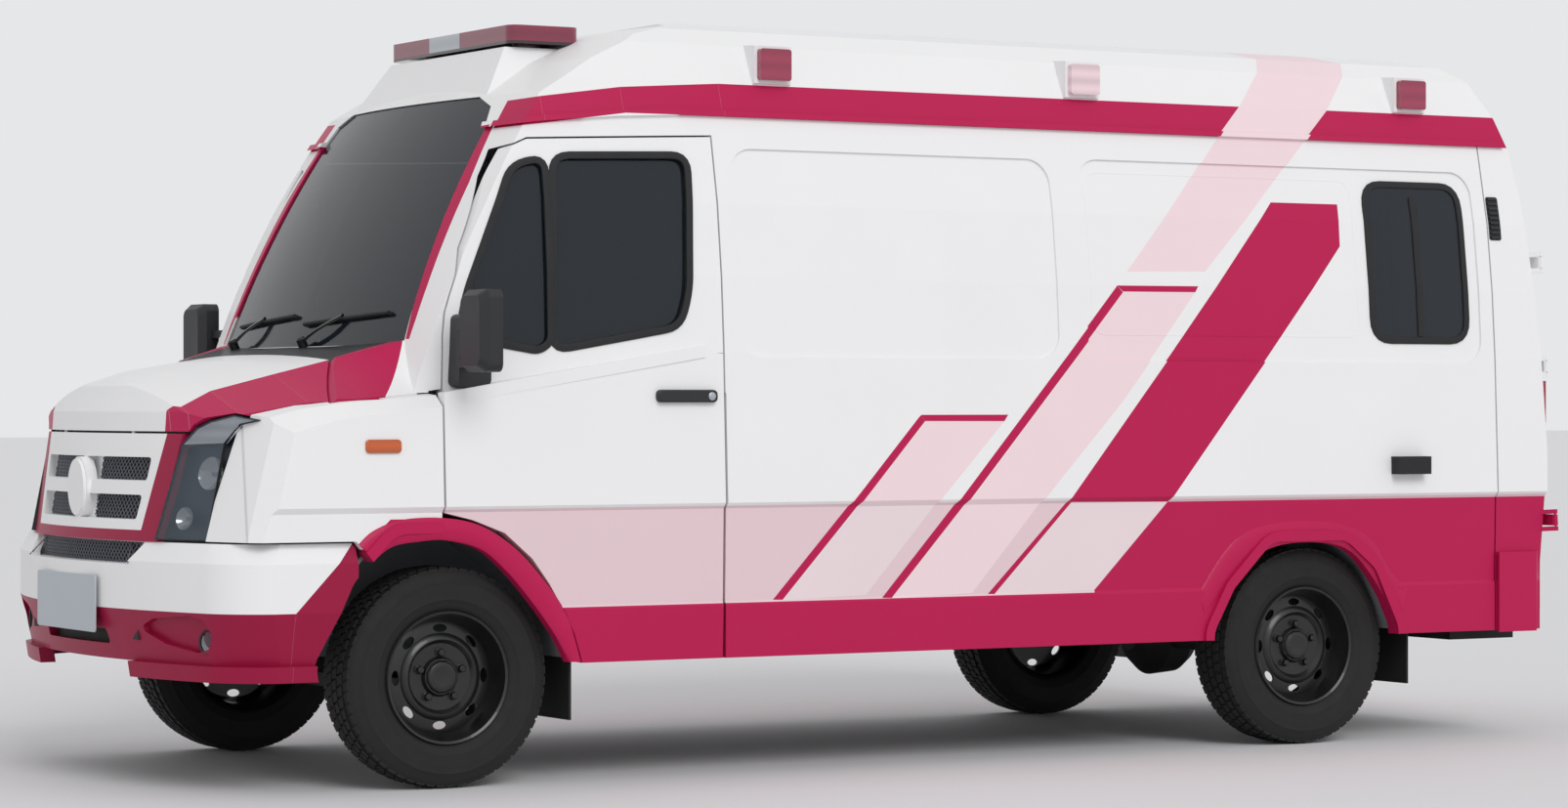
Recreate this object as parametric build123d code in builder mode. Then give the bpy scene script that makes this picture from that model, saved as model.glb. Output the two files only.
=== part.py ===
"""High-roof ambulance van with a short bonnet, as an assembly of named pieces.

Frame: +X to the front, +Y to the vehicle's left, +Z up, origin on the ground at the
middle of the overall length. Millimetres.
"""

import os
from math import copysign

from build123d import *

os.makedirs("parts", exist_ok=True)

# ---------------------------------------------------------------- driving dimensions

overall_length = 5350
front_overhang = 920
wheelbase = 3350
body_width = 1975
roof_crown = 2505
track = 1605

wall = 45            # body side, door and roof, outer skin to inner lining
skin = 25            # bonnet, wings and bumpers
glass = 6
shut_gap = 6         # between any two body panels
swing_gap = 9        # along an edge that swings back a little as its door or bonnet opens
seat_gap = 0.3       # between pieces that rest on each other

half_length = overall_length / 2
half_width = body_width / 2
front_axle_x = half_length - front_overhang
rear_axle_x = front_axle_x - wheelbase


def ahead(distance):
    """Position along X of a station measured forward from the front axle."""
    return front_axle_x + distance


def stations(points):
    """Side view points (ahead of the front axle, height) in the vehicle's frame."""
    return [(ahead(x), z) for x, z in points]


def side_face(points, radius=0):
    """Side view outline as a face on the XZ plane, all its corners rounded."""
    with BuildSketch(Plane.XZ) as face:
        Polygon(*stations(points), align=None)
        if radius:
            fillet(face.vertices(), radius)
    return face.sketch


def section_face(points, x):
    """Cross section outline (Y, Z) as a face across the vehicle at x."""
    with BuildSketch(Plane.YZ.offset(x)) as face:
        Polygon(*points, align=None)
    return face.sketch


def plan_face(points, z, radius=0):
    """Plan outline (ahead of the front axle, Y) as a face at a height."""
    with BuildSketch(Plane.XY.offset(z)) as face:
        Polygon(*[(ahead(x), y) for x, y in points], align=None)
        if radius:
            fillet(face.vertices(), radius)
    return face.sketch


# ---------------------------------------------------------------- body lines

sill_z = 384
belt_z = 1240        # foot of the windscreen pillar
rail_z = 2141        # underside of the drip rail
rail_height = 18
cab_rear = -957      # cab door's rear edge, from the front axle
corner_seam = -4160  # rear corner post's front seam
rear_door_top = 2118
rear_door_foot = 690

# body side from the sill to the rail: height, inset from half the body width
side_profile = (
    (sill_z, 21), (555, 15), (567, 21), (867, 15), (885, 0), (1204, 12),
    (1368, 18), (1612, 34), (1854, 62), (2070, 105), (rail_z, 120),
)
# roof section above the rail: height below the crown, inset from half the body width
roof_profile = ((253, 155), (125, 212), (69, 288), (24, 558))

# rear face, top to bottom: height, ahead of the front axle
rear_profile = (
    (2383, -4190), (2245, -4266), (rail_z, -4300), (1963, -4328), (1394, -4377),
    (1037, -4396), (885, -4392), (567, -4368), (sill_z, -4360),
)
# windscreen and roof front on the centre line: height, ahead of the front axle
front_arc = ((1240, 195), (1803, -31), (2200, -270))
roof_front = ((2320, -469), (2410, -664), (2445, -810), (2468, -957))

side_arc_radius = 5100    # plan curve of the cab side, from the cab door's rear edge
screen_axis = -3889       # centre of the windscreen's plan curve, from the front axle


def half_section(inset, foot):
    """Outer half section (Y, Z) from the foot height to the crown, shrunk by the inset."""
    low = [(half_width - i - inset, z) for z, i in side_profile if z > foot]
    high = [(half_width - i - inset, roof_crown - drop - inset) for drop, i in roof_profile]
    low_y = low[0][0]
    return [(low_y, foot)] + low + high + [(0, roof_crown - inset)]


def van_volume(inset, foot):
    """Load space between its walls, rear face to cab rear, solid."""
    half = half_section(inset, foot)
    outline = half + [(-y, z) for y, z in reversed(half[:-1])]
    rear = [(x + inset, z - inset * (z > rail_z)) for z, x in rear_profile if z > foot]
    side = [(cab_rear, foot), (cab_rear, 2468 - inset), (-1150, 2492 - inset), (-1400, 2540 - inset),
            (-4000, 2540 - inset), (-4090, 2455 - inset)] + rear + [(rear[-1][0], foot)]
    with BuildPart() as volume:
        extrude(section_face(outline, ahead(-4450)), amount=4450 + cab_rear)
        extrude(side_face(side), amount=half_width + 100, both=True, mode=Mode.INTERSECT)
    return volume.part


def cab_volume(inset, foot):
    """Cab ahead of the cab door's rear edge, solid: sides and front are turned in plan."""
    half = half_section(inset, foot)
    far_y = -half_width - 200
    side_axis = Axis((ahead(cab_rear), half_width - side_arc_radius, 0), (0, 0, 1))
    with BuildPart() as left_side:
        revolve(section_face(half + [(far_y, roof_crown - inset), (far_y, foot)], ahead(cab_rear)),
                axis=side_axis, revolution_arc=-26)
    low, middle, high = [(ahead(x - inset), z) for z, x in front_arc]
    top = [(ahead(x - inset), z - inset) for z, x in roof_front]
    back = ahead(-1200)
    with BuildSketch(Plane.XZ) as front_face:
        with BuildLine():
            ThreePointArc(low, middle, high)
            Polyline(high, *top, (back, 2500 - inset), (back, foot), (low[0], foot), low)
        make_face()
    screen_turn = Axis((ahead(screen_axis), 0, 0), (0, 0, 1))
    with BuildPart() as volume:
        revolve(front_face.sketch, axis=screen_turn, revolution_arc=60)
        revolve(front_face.sketch, axis=screen_turn, revolution_arc=-60)
        add(left_side.part, mode=Mode.INTERSECT)
        mirror(left_side.part, about=Plane.XZ, mode=Mode.INTERSECT)
    return volume.part


# ---------------------------------------------------------------- body shell

cab_foot = belt_z - 60
cab_outer = cab_volume(0, cab_foot)
cab_inner = cab_volume(wall, cab_foot)
van_outer = van_volume(0, sill_z)
van_inner = van_volume(wall, sill_z)

# underside of the drip rail in side view: ahead of the front axle, height
rail_line = ((-4500, rail_z), (-859, rail_z), (-609, 2129), (-361, 2107), (-221, 2090), (150, 2070))

# windscreen opening in front view: Y, height
screen_half = ((735, 1392), (723, 1472), (680, 1803), (648, 2077), (600, 2165), (493, 2203))
screen_outline = list(screen_half) + [(-y, z) for y, z in reversed(screen_half)]

# cab door in side view: ahead of the front axle, height
door_rear = cab_rear + swing_gap
belt_rear = (-880, 1395)
door_glasshouse = (
    (door_rear, 2071), (-303, 2047), (-227, 2013), (-179, 1926), (-72, 1693), (-20, 1544),
    (-3, 1490), (5, 1418), (12, belt_z - 25), (belt_rear[0], belt_rear[1] - 30), (door_rear, 1370),
)
door_panel = (
    (door_rear, 1395), belt_rear, (50, belt_z), (48, 866), (-51, 842), (-162, 800), (-259, 718),
    (-320, 637), (-378, 542), (-409, 474), (-438, sill_z), (door_rear, sill_z),
)
# its windows: quarter light and main light
quarter_light = ((-354, 1985), (-240, 1955), (-75, 1551), (-50, 1420), (-305, 1378), (-340, 1400))
main_light = ((-385, 1990), (-850, 2003), (-824, 1561), (-788, 1457), (-350, 1378))

# wheel arches in side view: ahead of the wheel's own axle, height
front_arch = ((520, 300), (355, 655), (215, 803), (-120, 803), (-345, 640), (-402, 300))
rear_arch = ((520, 300), (370, 562), (205, 722), (-120, 722), (-250, 620), (-410, 300))
arch_corner = 90
flare_width = 36


def grown(points, margin, radius=0):
    """Side view outline moved outwards by a margin, as a face on the XZ plane."""
    with BuildSketch(Plane.XZ) as face:
        Polygon(*stations(points), align=None)
        if radius:
            fillet(face.vertices(), radius)
        offset(amount=margin, kind=Kind.INTERSECTION)
    return face.sketch


def axle_points(points, axle_x):
    """Points given from an axle, as points from the front axle."""
    return [(x + axle_x - front_axle_x, z) for x, z in points]


def side_band(z_top, thickness):
    """Lower body side as a cross section band, thickness measured inwards."""
    outer = [(half_width - i, z) for z, i in side_profile if z <= z_top]
    return outer + [(y - thickness, z) for y, z in reversed(outer)]


rail_reach = 14      # how far the drip rail stands out of the roof
rail_rear = -4277
rail_strip = [(rail_rear, rail_z), *rail_line[1:5], (-221, 2090 + rail_height)]
rail_strip += [(x, z + rail_height) for x, z in reversed(rail_line[1:4])] + [(rail_rear, rail_z + rail_height)]

with BuildPart() as drip_rail:
    add(cab_volume(-rail_reach, cab_foot))
    add(van_volume(-rail_reach, sill_z))
    extrude(side_face(rail_strip), amount=half_width, both=True, mode=Mode.INTERSECT)

left_block = Box(2 * overall_length, 2000, 6000, align=(Align.CENTER, Align.MIN, Align.CENTER))

with BuildPart() as roof:
    add(cab_outer)
    add(van_outer)
    add(drip_rail.part)
    loft([plan_face([(-319, 520), (-319, -520), (-1000, -520), (-1000, 520)], 2205),
          plan_face([(-424, 440), (-424, -440), (-1000, -440), (-1000, 440)], 2375)])
    add(cab_inner, mode=Mode.SUBTRACT)
    add(van_inner, mode=Mode.SUBTRACT)
    above_rail = list(rail_line) + [(150, 2600), (-4500, 2600)]
    extrude(side_face(above_rail), amount=half_width + 100, both=True, mode=Mode.INTERSECT)
    extrude(section_face(screen_outline, ahead(-600)), amount=900, mode=Mode.SUBTRACT)
roof.part.label = "roof"
export_step(roof.part, "parts/roof.step")

with BuildPart() as cab_frame:
    add(cab_outer)
    add(cab_inner, mode=Mode.SUBTRACT)
    below_rail = list(rail_line[1:]) + [(400, 2070), (400, cab_foot), (cab_rear, cab_foot), (cab_rear, rail_z)]
    extrude(side_face(below_rail), amount=half_width + 100, both=True, mode=Mode.INTERSECT)
    extrude(section_face(screen_outline, ahead(-600)), amount=900, mode=Mode.SUBTRACT)
    extrude(grown(door_glasshouse, shut_gap), amount=half_width + 100, both=True, mode=Mode.SUBTRACT)
    extrude(grown(door_panel, shut_gap), amount=half_width + 100, both=True, mode=Mode.SUBTRACT)
    under_screen = [(-1000, cab_foot - 10), (-1000, belt_z), (60, belt_z), (300, belt_z - 10), (300, cab_foot - 10)]
    extrude(side_face(under_screen), amount=half_width, both=True, mode=Mode.SUBTRACT)
cab_frame.part.label = "cab_frame"
export_step(cab_frame.part, "parts/cab_frame.step")

screen_outer = cab_volume(8, cab_foot)
screen_inner = cab_volume(8 + glass, cab_foot)
with BuildPart() as windscreen:
    add(screen_outer)
    add(screen_inner, mode=Mode.SUBTRACT)
    extrude(section_face(screen_outline, ahead(-600)), amount=900, mode=Mode.INTERSECT)
windscreen.part.label = "windscreen"
export_step(windscreen.part, "parts/windscreen.step")

# ---------------------------------------------------------------- load space sides

recess_depth = 9
recess_radius = 85
front_recess = ((-1011, 1357), (-2261, 1357), (-2261, 2037), (-1011, 2037))
rear_recess = ((-2378, 1351), (-4100, 1351), (-4100, 2043), (-2378, 2043))
side_light = ((-3613, 1430), (-4041, 1430), (-4041, 1990), (-3613, 1990))
side_light_radius = 70

with BuildPart() as van_shell:
    add(van_outer)
    add(van_inner, mode=Mode.SUBTRACT)
    below_roof = [(-4500, sill_z), (cab_rear, sill_z), (cab_rear, rail_z), (-4500, rail_z)]
    extrude(side_face(below_roof), amount=half_width + 10, both=True, mode=Mode.INTERSECT)

with BuildPart() as recess_outlines:
    extrude(side_face(front_recess, recess_radius), amount=-1100)
    extrude(side_face(rear_recess, recess_radius), amount=-1100)

with BuildPart() as recess_tools:
    outer = [(half_width - i + 5, z) for z, i in side_profile]
    pocket = outer + [(y - 5 - recess_depth, z) for y, z in reversed(outer)]
    extrude(section_face(pocket, ahead(-4300)), amount=3500)
    add(recess_outlines.part, mode=Mode.INTERSECT)

with BuildPart() as arch_lips:
    extrude(grown(axle_points(rear_arch, rear_axle_x), flare_width, arch_corner), amount=-(half_width - 2))
    extrude(side_face([(-4000, sill_z), (-2700, sill_z), (-2700, 900), (-4000, 900)]),
            amount=-half_width, mode=Mode.INTERSECT)
    Box(6000, 2 * (half_width - 40), 4000, mode=Mode.SUBTRACT)

with BuildPart() as body_side_left:
    add(van_shell.part)
    add(left_block, mode=Mode.INTERSECT)
    side_zone = [(corner_seam + shut_gap / 2, sill_z), (cab_rear, sill_z), (cab_rear, rail_z),
                 (corner_seam + shut_gap / 2, rail_z)]
    extrude(side_face(side_zone), amount=-1100, mode=Mode.INTERSECT)
    add(recess_tools.part, mode=Mode.SUBTRACT)
    add(arch_lips.part)
    extrude(side_face(side_light, side_light_radius), amount=-1100, mode=Mode.SUBTRACT)
    extrude(side_face(axle_points(rear_arch, rear_axle_x), arch_corner), amount=-1100, mode=Mode.SUBTRACT)
body_side_left.part.label = "body_side_left"
export_step(body_side_left.part, "parts/body_side_left.step")

with BuildPart() as body_side_right:
    mirror(body_side_left.part, about=Plane.XZ)
body_side_right.part.label = "body_side_right"
export_step(body_side_right.part, "parts/body_side_right.step")

with BuildPart() as side_windows:
    extrude(section_face([(y - 14, z) for y, z in outer] + [(y - 20, z) for y, z in reversed(outer)],
                         ahead(-4300)), amount=900)
    extrude(side_face(side_light, side_light_radius), amount=-1100, mode=Mode.INTERSECT)
    mirror(about=Plane.XZ)
side_windows.part.label = "side_windows"
export_step(side_windows.part, "parts/side_windows.step")

# ---------------------------------------------------------------- rear frame and doors

door_edge_y = 880          # rear door's hinge edge
rear_window = ((140, 1430), (740, 1430), (715, 1960), (140, 1960))
rear_window_radius = 70


def rear_face_area(points, radius=0, margin=0):
    """Rear view outline (Y, Z) as a face behind the vehicle."""
    with BuildSketch(Plane.YZ.offset(ahead(-4500))) as face:
        Polygon(*points, align=None)
        if radius:
            fillet(face.vertices(), radius)
        if margin:
            offset(amount=margin, kind=Kind.INTERSECTION)
    return face.sketch


centre_gap = 10          # between the two rear doors
rear_door_outline = [(centre_gap / 2, rear_door_foot), (door_edge_y, rear_door_foot), (door_edge_y, 1500),
                     (door_edge_y - 75, rear_door_top), (centre_gap / 2, rear_door_top)]

right_door_outline = [(-y, z) for y, z in rear_door_outline]
doorway_depth = 245

# left rear door's hinge axis, which leans with the corner of the body
hinge_foot = Vector(ahead(-4416), 994, 885)
hinge_head = Vector(ahead(-4376), 952, 1935)
hinge_line = (hinge_head - hinge_foot).normalized()
hinge_heights = (780, 1340, 1720)
pin_radius = 4
eye_radius = 9
eye_height = 40
strap_thickness = 12
strap_inner_y = 790
lug_gap = 3              # above and below a hinge eye, which is square to its leaning pin
lug_height = 16


def hinge_plane(z):
    """Plane across the rear hinge axis at a height."""
    origin = hinge_foot + hinge_line * ((z - hinge_foot.Z) / hinge_line.Z)
    return Plane(origin=origin, x_dir=(1, 0, 0), z_dir=hinge_line)


def rear_face_x(z):
    """Rear face's position at a height, by its profile."""
    for (high, x_high), (low, x_low) in zip(rear_profile, rear_profile[1:]):
        if low <= z <= high:
            return ahead(x_low + (x_high - x_low) * (z - low) / (high - low))


with BuildPart() as hinge_lugs:
    for z in hinge_heights:
        across = hinge_plane(z)
        for start in (eye_height / 2 + lug_gap, -eye_height / 2 - lug_gap - lug_height):
            with BuildSketch(across.offset(start)):
                Circle(eye_radius)
                Polygon((-6, -6), (6, 6), (46, -28), (46, -56), align=None)
            extrude(amount=lug_height)
        with Locations(across):
            Cylinder(pin_radius, eye_height + 2 * lug_gap + lug_height)

with BuildPart() as hinge_straps:
    for z in hinge_heights:
        across = hinge_plane(z)
        knob = across.origin
        with Locations((knob.X, strap_inner_y, z)):
            Box(strap_thickness, knob.Y - strap_inner_y, eye_height, align=(Align.MIN, Align.MIN, Align.CENTER))
            Box(rear_face_x(z) + 5 - knob.X, 55, eye_height, align=(Align.MIN, Align.MIN, Align.CENTER))
        with Locations(across):
            Cylinder(eye_radius, eye_height)
            Cylinder(pin_radius + seat_gap, 2 * eye_height, mode=Mode.SUBTRACT)

with BuildPart() as rear_frame:
    add(van_shell.part)
    rear_zone = [(-4500, sill_z), (corner_seam - shut_gap / 2, sill_z), (corner_seam - shut_gap / 2, rail_z),
                 (-4500, rail_z)]
    extrude(side_face(rear_zone), amount=1100, both=True, mode=Mode.INTERSECT)
    extrude(rear_face_area(rear_door_outline, margin=swing_gap), amount=doorway_depth, mode=Mode.SUBTRACT)
    extrude(rear_face_area(right_door_outline, margin=swing_gap), amount=doorway_depth, mode=Mode.SUBTRACT)
    add(hinge_lugs.part)
    mirror(hinge_lugs.part, about=Plane.XZ)
rear_frame.part.label = "rear_frame"
export_step(rear_frame.part, "parts/rear_frame.step")

with BuildPart() as rear_door_left:
    add(van_shell.part)
    extrude(rear_face_area(rear_door_outline), amount=doorway_depth, mode=Mode.INTERSECT)
    extrude(rear_face_area(rear_window, rear_window_radius), amount=400, mode=Mode.SUBTRACT)
    add(hinge_straps.part)
rear_door_left.part.label = "rear_door_left"
export_step(rear_door_left.part, "parts/rear_door_left.step")


with BuildPart() as rear_door_right:
    mirror(rear_door_left.part, about=Plane.XZ)
rear_door_right.part.label = "rear_door_right"
export_step(rear_door_right.part, "parts/rear_door_right.step")

with BuildPart() as rear_door_left_glass:
    for depth, mode in ((10, Mode.ADD), (10 + glass, Mode.SUBTRACT)):
        back = [(x + depth, z) for z, x in rear_profile if 1300 < z < 2200]
        extrude(side_face([(back[0][0], 2141)] + back + [(-4000, back[-1][1]), (-4000, 2141)]),
                amount=-1000, mode=mode)
    extrude(rear_face_area(rear_window, rear_window_radius), amount=400, mode=Mode.INTERSECT)
rear_door_left_glass.part.label = "rear_door_left_glass"
export_step(rear_door_left_glass.part, "parts/rear_door_left_glass.step")

with BuildPart() as rear_door_right_glass:
    mirror(rear_door_left_glass.part, about=Plane.XZ)
rear_door_right_glass.part.label = "rear_door_right_glass"
export_step(rear_door_right_glass.part, "parts/rear_door_right_glass.step")

# ---------------------------------------------------------------- cab doors

light_radius = 35

with BuildPart() as glasshouse_wall:
    add(cab_outer)
    add(cab_inner, mode=Mode.SUBTRACT)
    extrude(side_face(door_glasshouse), amount=-1100, mode=Mode.INTERSECT)
    Box(2 * overall_length, 2 * 780, 6000, mode=Mode.SUBTRACT)

with BuildPart() as shoulder_ledge:
    extrude(section_face([(700, 1150), (half_width - 12, 1150), (half_width - 12, 1420), (700, 1420)],
                         ahead(-940)), amount=952)
    extrude(side_face([belt_rear, (12, belt_z + 6), (12, belt_z - 34), (belt_rear[0], belt_rear[1] - 40)]),
            amount=-1100, mode=Mode.INTERSECT)
    add(cab_inner, mode=Mode.SUBTRACT)

with BuildPart() as cab_door_left:
    extrude(section_face(side_band(1420, wall), ahead(cab_rear - 50)), amount=1200)
    extrude(side_face(door_panel), amount=-1100, mode=Mode.INTERSECT)
    add(shoulder_ledge.part)
    add(glasshouse_wall.part)
    extrude(side_face(quarter_light, light_radius), amount=-1100, mode=Mode.SUBTRACT)
    extrude(side_face(main_light, light_radius), amount=-1100, mode=Mode.SUBTRACT)
cab_door_left.part.label = "cab_door_left"
export_step(cab_door_left.part, "parts/cab_door_left.step")

pane_outer = cab_volume(12, cab_foot)
pane_inner = cab_volume(12 + glass, cab_foot)
with BuildPart() as pane_outlines:
    extrude(side_face(quarter_light, light_radius), amount=-1100)
    extrude(side_face(main_light, light_radius), amount=-1100)

with BuildPart() as cab_door_left_glass:
    add(pane_outer)
    add(pane_inner, mode=Mode.SUBTRACT)
    add(left_block, mode=Mode.INTERSECT)
    add(pane_outlines.part, mode=Mode.INTERSECT)
cab_door_left_glass.part.label = "cab_door_left_glass"
export_step(cab_door_left_glass.part, "parts/cab_door_left_glass.step")

for name, twin in (("cab_door_right", cab_door_left), ("cab_door_right_glass", cab_door_left_glass)):
    with BuildPart() as right_hand:
        mirror(twin.part, about=Plane.XZ)
    right_hand.part.label = name
    export_step(right_hand.part, f"parts/{name}.step")

# ---------------------------------------------------------------- floor and wheelhouses

floor_top = 630
floor_thickness = 30
house_wall = 12
front_house_y = 485       # inner wall of a front wheelhouse
rear_house_y = 600
lining_y = 920            # inner face of the lower body side

floor_rear = -4320
firewall_top = 1200

with BuildPart() as wheelhouses:
    for points, axle_x, inner_y in ((front_arch, front_axle_x, front_house_y), (rear_arch, rear_axle_x, rear_house_y)):
        for side in (1, -1):
            extrude(grown(axle_points(points, axle_x), house_wall + 8, arch_corner).moved(
                Location((0, side * (inner_y - house_wall), 0))), amount=-side * (lining_y - inner_y + house_wall))

with BuildPart() as wheel_spaces:
    for points, axle_x, inner_y in ((front_arch, front_axle_x, front_house_y), (rear_arch, rear_axle_x, rear_house_y)):
        for side in (1, -1):
            extrude(grown(axle_points(points, axle_x), 8, arch_corner).moved(Location((0, side * inner_y, 0))),
                    amount=-side * 500)

with BuildPart() as floor:
    extrude(side_face([(floor_rear, floor_top - floor_thickness), (-395, floor_top - floor_thickness),
                       (-395, floor_top), (floor_rear, floor_top)]), amount=lining_y, both=True)
    extrude(side_face([(-400, floor_top - floor_thickness), (60, floor_top - floor_thickness),
                       (60, floor_top), (-400, floor_top)]), amount=front_house_y, both=True)
    extrude(side_face([(60, floor_top - floor_thickness), (85, floor_top - floor_thickness),
                       (85, firewall_top - seat_gap), (60, firewall_top - seat_gap)]), amount=lining_y - 5, both=True)
    add(wheelhouses.part)
    add(wheel_spaces.part, mode=Mode.SUBTRACT)
    trim = [(-4400, 400), (600, 400), (600, firewall_top), (-4400, firewall_top)]
    extrude(side_face(trim), amount=1000, both=True, mode=Mode.INTERSECT)
floor.part.label = "floor"
export_step(floor.part, "parts/floor.step")


# ---------------------------------------------------------------- nose

nose_turn = Axis((ahead(842 - 2200), 0, 0), (0, 0, 1))

# bonnet sections: ahead of the front axle, centre height, ridge Y, ridge height, edge Y, edge height
bonnet_sections = (
    (235, 1373, 650, 1357, 915, 1221),
    (462, 1347, 600, 1298, 866, 1209),
    (654, 1318, 550, 1245, 797, 1171),
    (770, 1285, 540, 1190, 730, 1122),
    (880, 1235, 520, 1120, 660, 1080),
)
bonnet_flange = 14        # depth of its turned down side edges
nose_line = ((1180, 838), (1262, 798), (1340, 700), (1500, 400))


def bonnet_loft(inset, drop):
    """Solid under the bonnet's outer surface, moved in by the inset, its sides reaching down by the drop."""
    faces = []
    for x, centre_z, ridge_y, ridge_z, edge_y, edge_z in bonnet_sections:
        with BuildSketch(Plane.YZ.offset(ahead(x))) as section:
            with BuildLine():
                ThreePointArc((-ridge_y, ridge_z - inset), (0, centre_z - inset), (ridge_y, ridge_z - inset))
                Polyline((ridge_y, ridge_z - inset), (edge_y - inset, edge_z - inset / 2),
                         (edge_y - inset, edge_z - drop), (inset - edge_y, edge_z - drop),
                         (inset - edge_y, edge_z - inset / 2), (-ridge_y, ridge_z - inset))
            make_face()
        faces.append(section.sketch)
    with BuildPart() as solid:
        loft(faces, ruled=True)
    return solid.part


def nose_volume(profile, inset):
    """Everything behind a front profile (height, ahead of the front axle) turned in plan."""
    line = [(ahead(x - inset), z) for z, x in profile]
    with BuildSketch(Plane.XZ) as face:
        Polygon((ahead(-300), line[0][1]), *line, (ahead(-300), line[-1][1]), align=None)
    with BuildPart() as solid:
        revolve(face.sketch, axis=nose_turn, revolution_arc=60)
        revolve(face.sketch, axis=nose_turn, revolution_arc=-60)
    return solid.part


# headlamp: a slanted prism on the nose corner, corners as (ahead of the front axle, Y, height)
lamp_planes = {}
for side in (1, -1):
    lamp_origin = Vector(ahead(839), side * 552, 786)
    lamp_edge = Vector(ahead(753), side * 750, 782) - lamp_origin
    lamp_rise = Vector(ahead(756), side * 600, 1109) - lamp_origin
    lamp_planes[side] = Plane(origin=lamp_origin, x_dir=lamp_edge, z_dir=lamp_edge.cross(lamp_rise) * side)
lamp_corners = (
    (842, 548, 782), (753, 751, 781), (693, 752, 1086), (661, 800, 1145), (628, 869, 1157),
    (668, 771, 1172), (710, 685, 1154), (735, 636, 1133), (767, 587, 1080),
)
lamp_depth = 90
lamp_gap = 0.8


def lamp_outline(margin, lift, side=1):
    """Headlamp outline on its own plane, raised by the lift and grown by a margin; side is 1 or -1."""
    plane = lamp_planes[side].offset(lift)
    with BuildSketch(plane) as face:
        local = [plane.to_local_coords(Vector(ahead(x), side * y, z)) for x, y, z in lamp_corners]
        Polygon(*[(p.X, p.Y) for p in local], align=None)
        if margin:
            offset(amount=margin)
    return face.sketch


with BuildPart() as under_bonnet:
    add(bonnet_loft(skin, 60))
    add(nose_volume(((1000, 842), *nose_line), skin), mode=Mode.INTERSECT)

# left half of the seam between cowl and bonnet: a plane through three points, (ahead of the front axle, Y, height)
seam_points = [Vector(ahead(x), y, z) for x, y, z in ((300, 0, 1370), (259, 700, 1361), (381, 900, 1221))]
seam_normal = (seam_points[2] - seam_points[0]).cross(seam_points[1] - seam_points[0])
seam_plane = Plane(origin=seam_points[0], z_dir=seam_normal)

with BuildPart() as ahead_of_seam:
    with Locations(seam_plane):
        Box(2000, 2000, 800, align=(Align.CENTER, Align.CENTER, Align.MIN))
    add(left_block, mode=Mode.INTERSECT)
    mirror(about=Plane.XZ)

with BuildPart() as behind_seam:
    with Locations(seam_plane.offset(shut_gap)):
        Box(2000, 2000, 800, align=(Align.CENTER, Align.CENTER, Align.MAX))
    add(left_block, mode=Mode.INTERSECT)
    mirror(about=Plane.XZ)

with BuildPart() as bonnet:
    add(bonnet_loft(0, bonnet_flange))
    add(nose_volume(((1119, 842), *nose_line), 0), mode=Mode.INTERSECT)
    add(under_bonnet.part, mode=Mode.SUBTRACT)
    add(behind_seam.part, mode=Mode.SUBTRACT)
    extrude(lamp_outline(shut_gap, 30), amount=-160, mode=Mode.SUBTRACT)
    extrude(lamp_outline(shut_gap, 30, -1), amount=-160, mode=Mode.SUBTRACT)
bonnet.part.label = "bonnet"
export_step(bonnet.part, "parts/bonnet.step")

# cowl: half sections (Y, Z) at its front and at its rear, against the windscreen
cowl_front = ((0, 1370), (640, 1344), (903, 1221))
cowl_rear = ((0, 1400), (735, 1405), (862, 1240))
cowl_front_x = 300
cowl_rear_x = 75


def cowl_half(line, x, inset, foot):
    """Cowl's half section moved in by the inset, down to a foot."""
    moved = [(y - inset * (y > 0), z - inset) for y, z in line]
    return section_face(moved + [(moved[-1][0], foot), (0, foot)], ahead(x))


with BuildPart() as cowl:
    loft([cowl_half(cowl_front, cowl_front_x + 180, 0, firewall_top),
          cowl_half(cowl_front, cowl_front_x, 0, firewall_top),
          cowl_half(cowl_rear, cowl_rear_x, 0, firewall_top)], ruled=True)
    loft([cowl_half(cowl_front, cowl_front_x + 190, skin, firewall_top - 60),
          cowl_half(cowl_front, cowl_front_x, skin, firewall_top - 60),
          cowl_half(cowl_rear, cowl_rear_x + skin, skin, firewall_top - 60)], ruled=True, mode=Mode.SUBTRACT)
    mirror(about=Plane.XZ)
    add(cab_outer, mode=Mode.SUBTRACT)
    add(ahead_of_seam.part, mode=Mode.SUBTRACT)
cowl.part.label = "cowl"
export_step(cowl.part, "parts/cowl.step")

with BuildPart() as headlamps:
    extrude(lamp_outline(0, 0), amount=-lamp_depth)
    mirror(about=Plane.XZ)
headlamps.part.label = "headlamps"
export_step(headlamps.part, "parts/headlamps.step")

bumper_top = 776

# grille: outline in front view (Y, height) on the nose surface
grille_profile = ((bumper_top + seat_gap, 895), (1112, 843))
grille_depth = 40
bar_half = 12            # half the width of the bar down the grille's middle
grille_outline = ((592, 1112), (540, bumper_top), (-540, bumper_top), (-592, 1112))


def front_face(points, radius=0, margin=0):
    """Front view outline (Y, Z) as a face across the middle of the bonnet."""
    with BuildSketch(Plane.YZ.offset(ahead(400))) as face:
        Polygon(*points, align=None)
        if radius:
            fillet(face.vertices(), radius)
        if margin:
            offset(amount=margin, kind=Kind.INTERSECTION)
    return face.sketch


grille_back = ((700, 895 + 12), (1200, 843 - 14))
bonnet_stop_z = 1119 - seat_gap

with BuildPart() as grille_mesh:
    add(nose_volume(grille_profile, 30))
    add(nose_volume(grille_back, 36), mode=Mode.SUBTRACT)
    extrude(front_face([(470, 1095), (450, 800), (-450, 800), (-470, 1095)]), amount=700, mode=Mode.INTERSECT)

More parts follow.
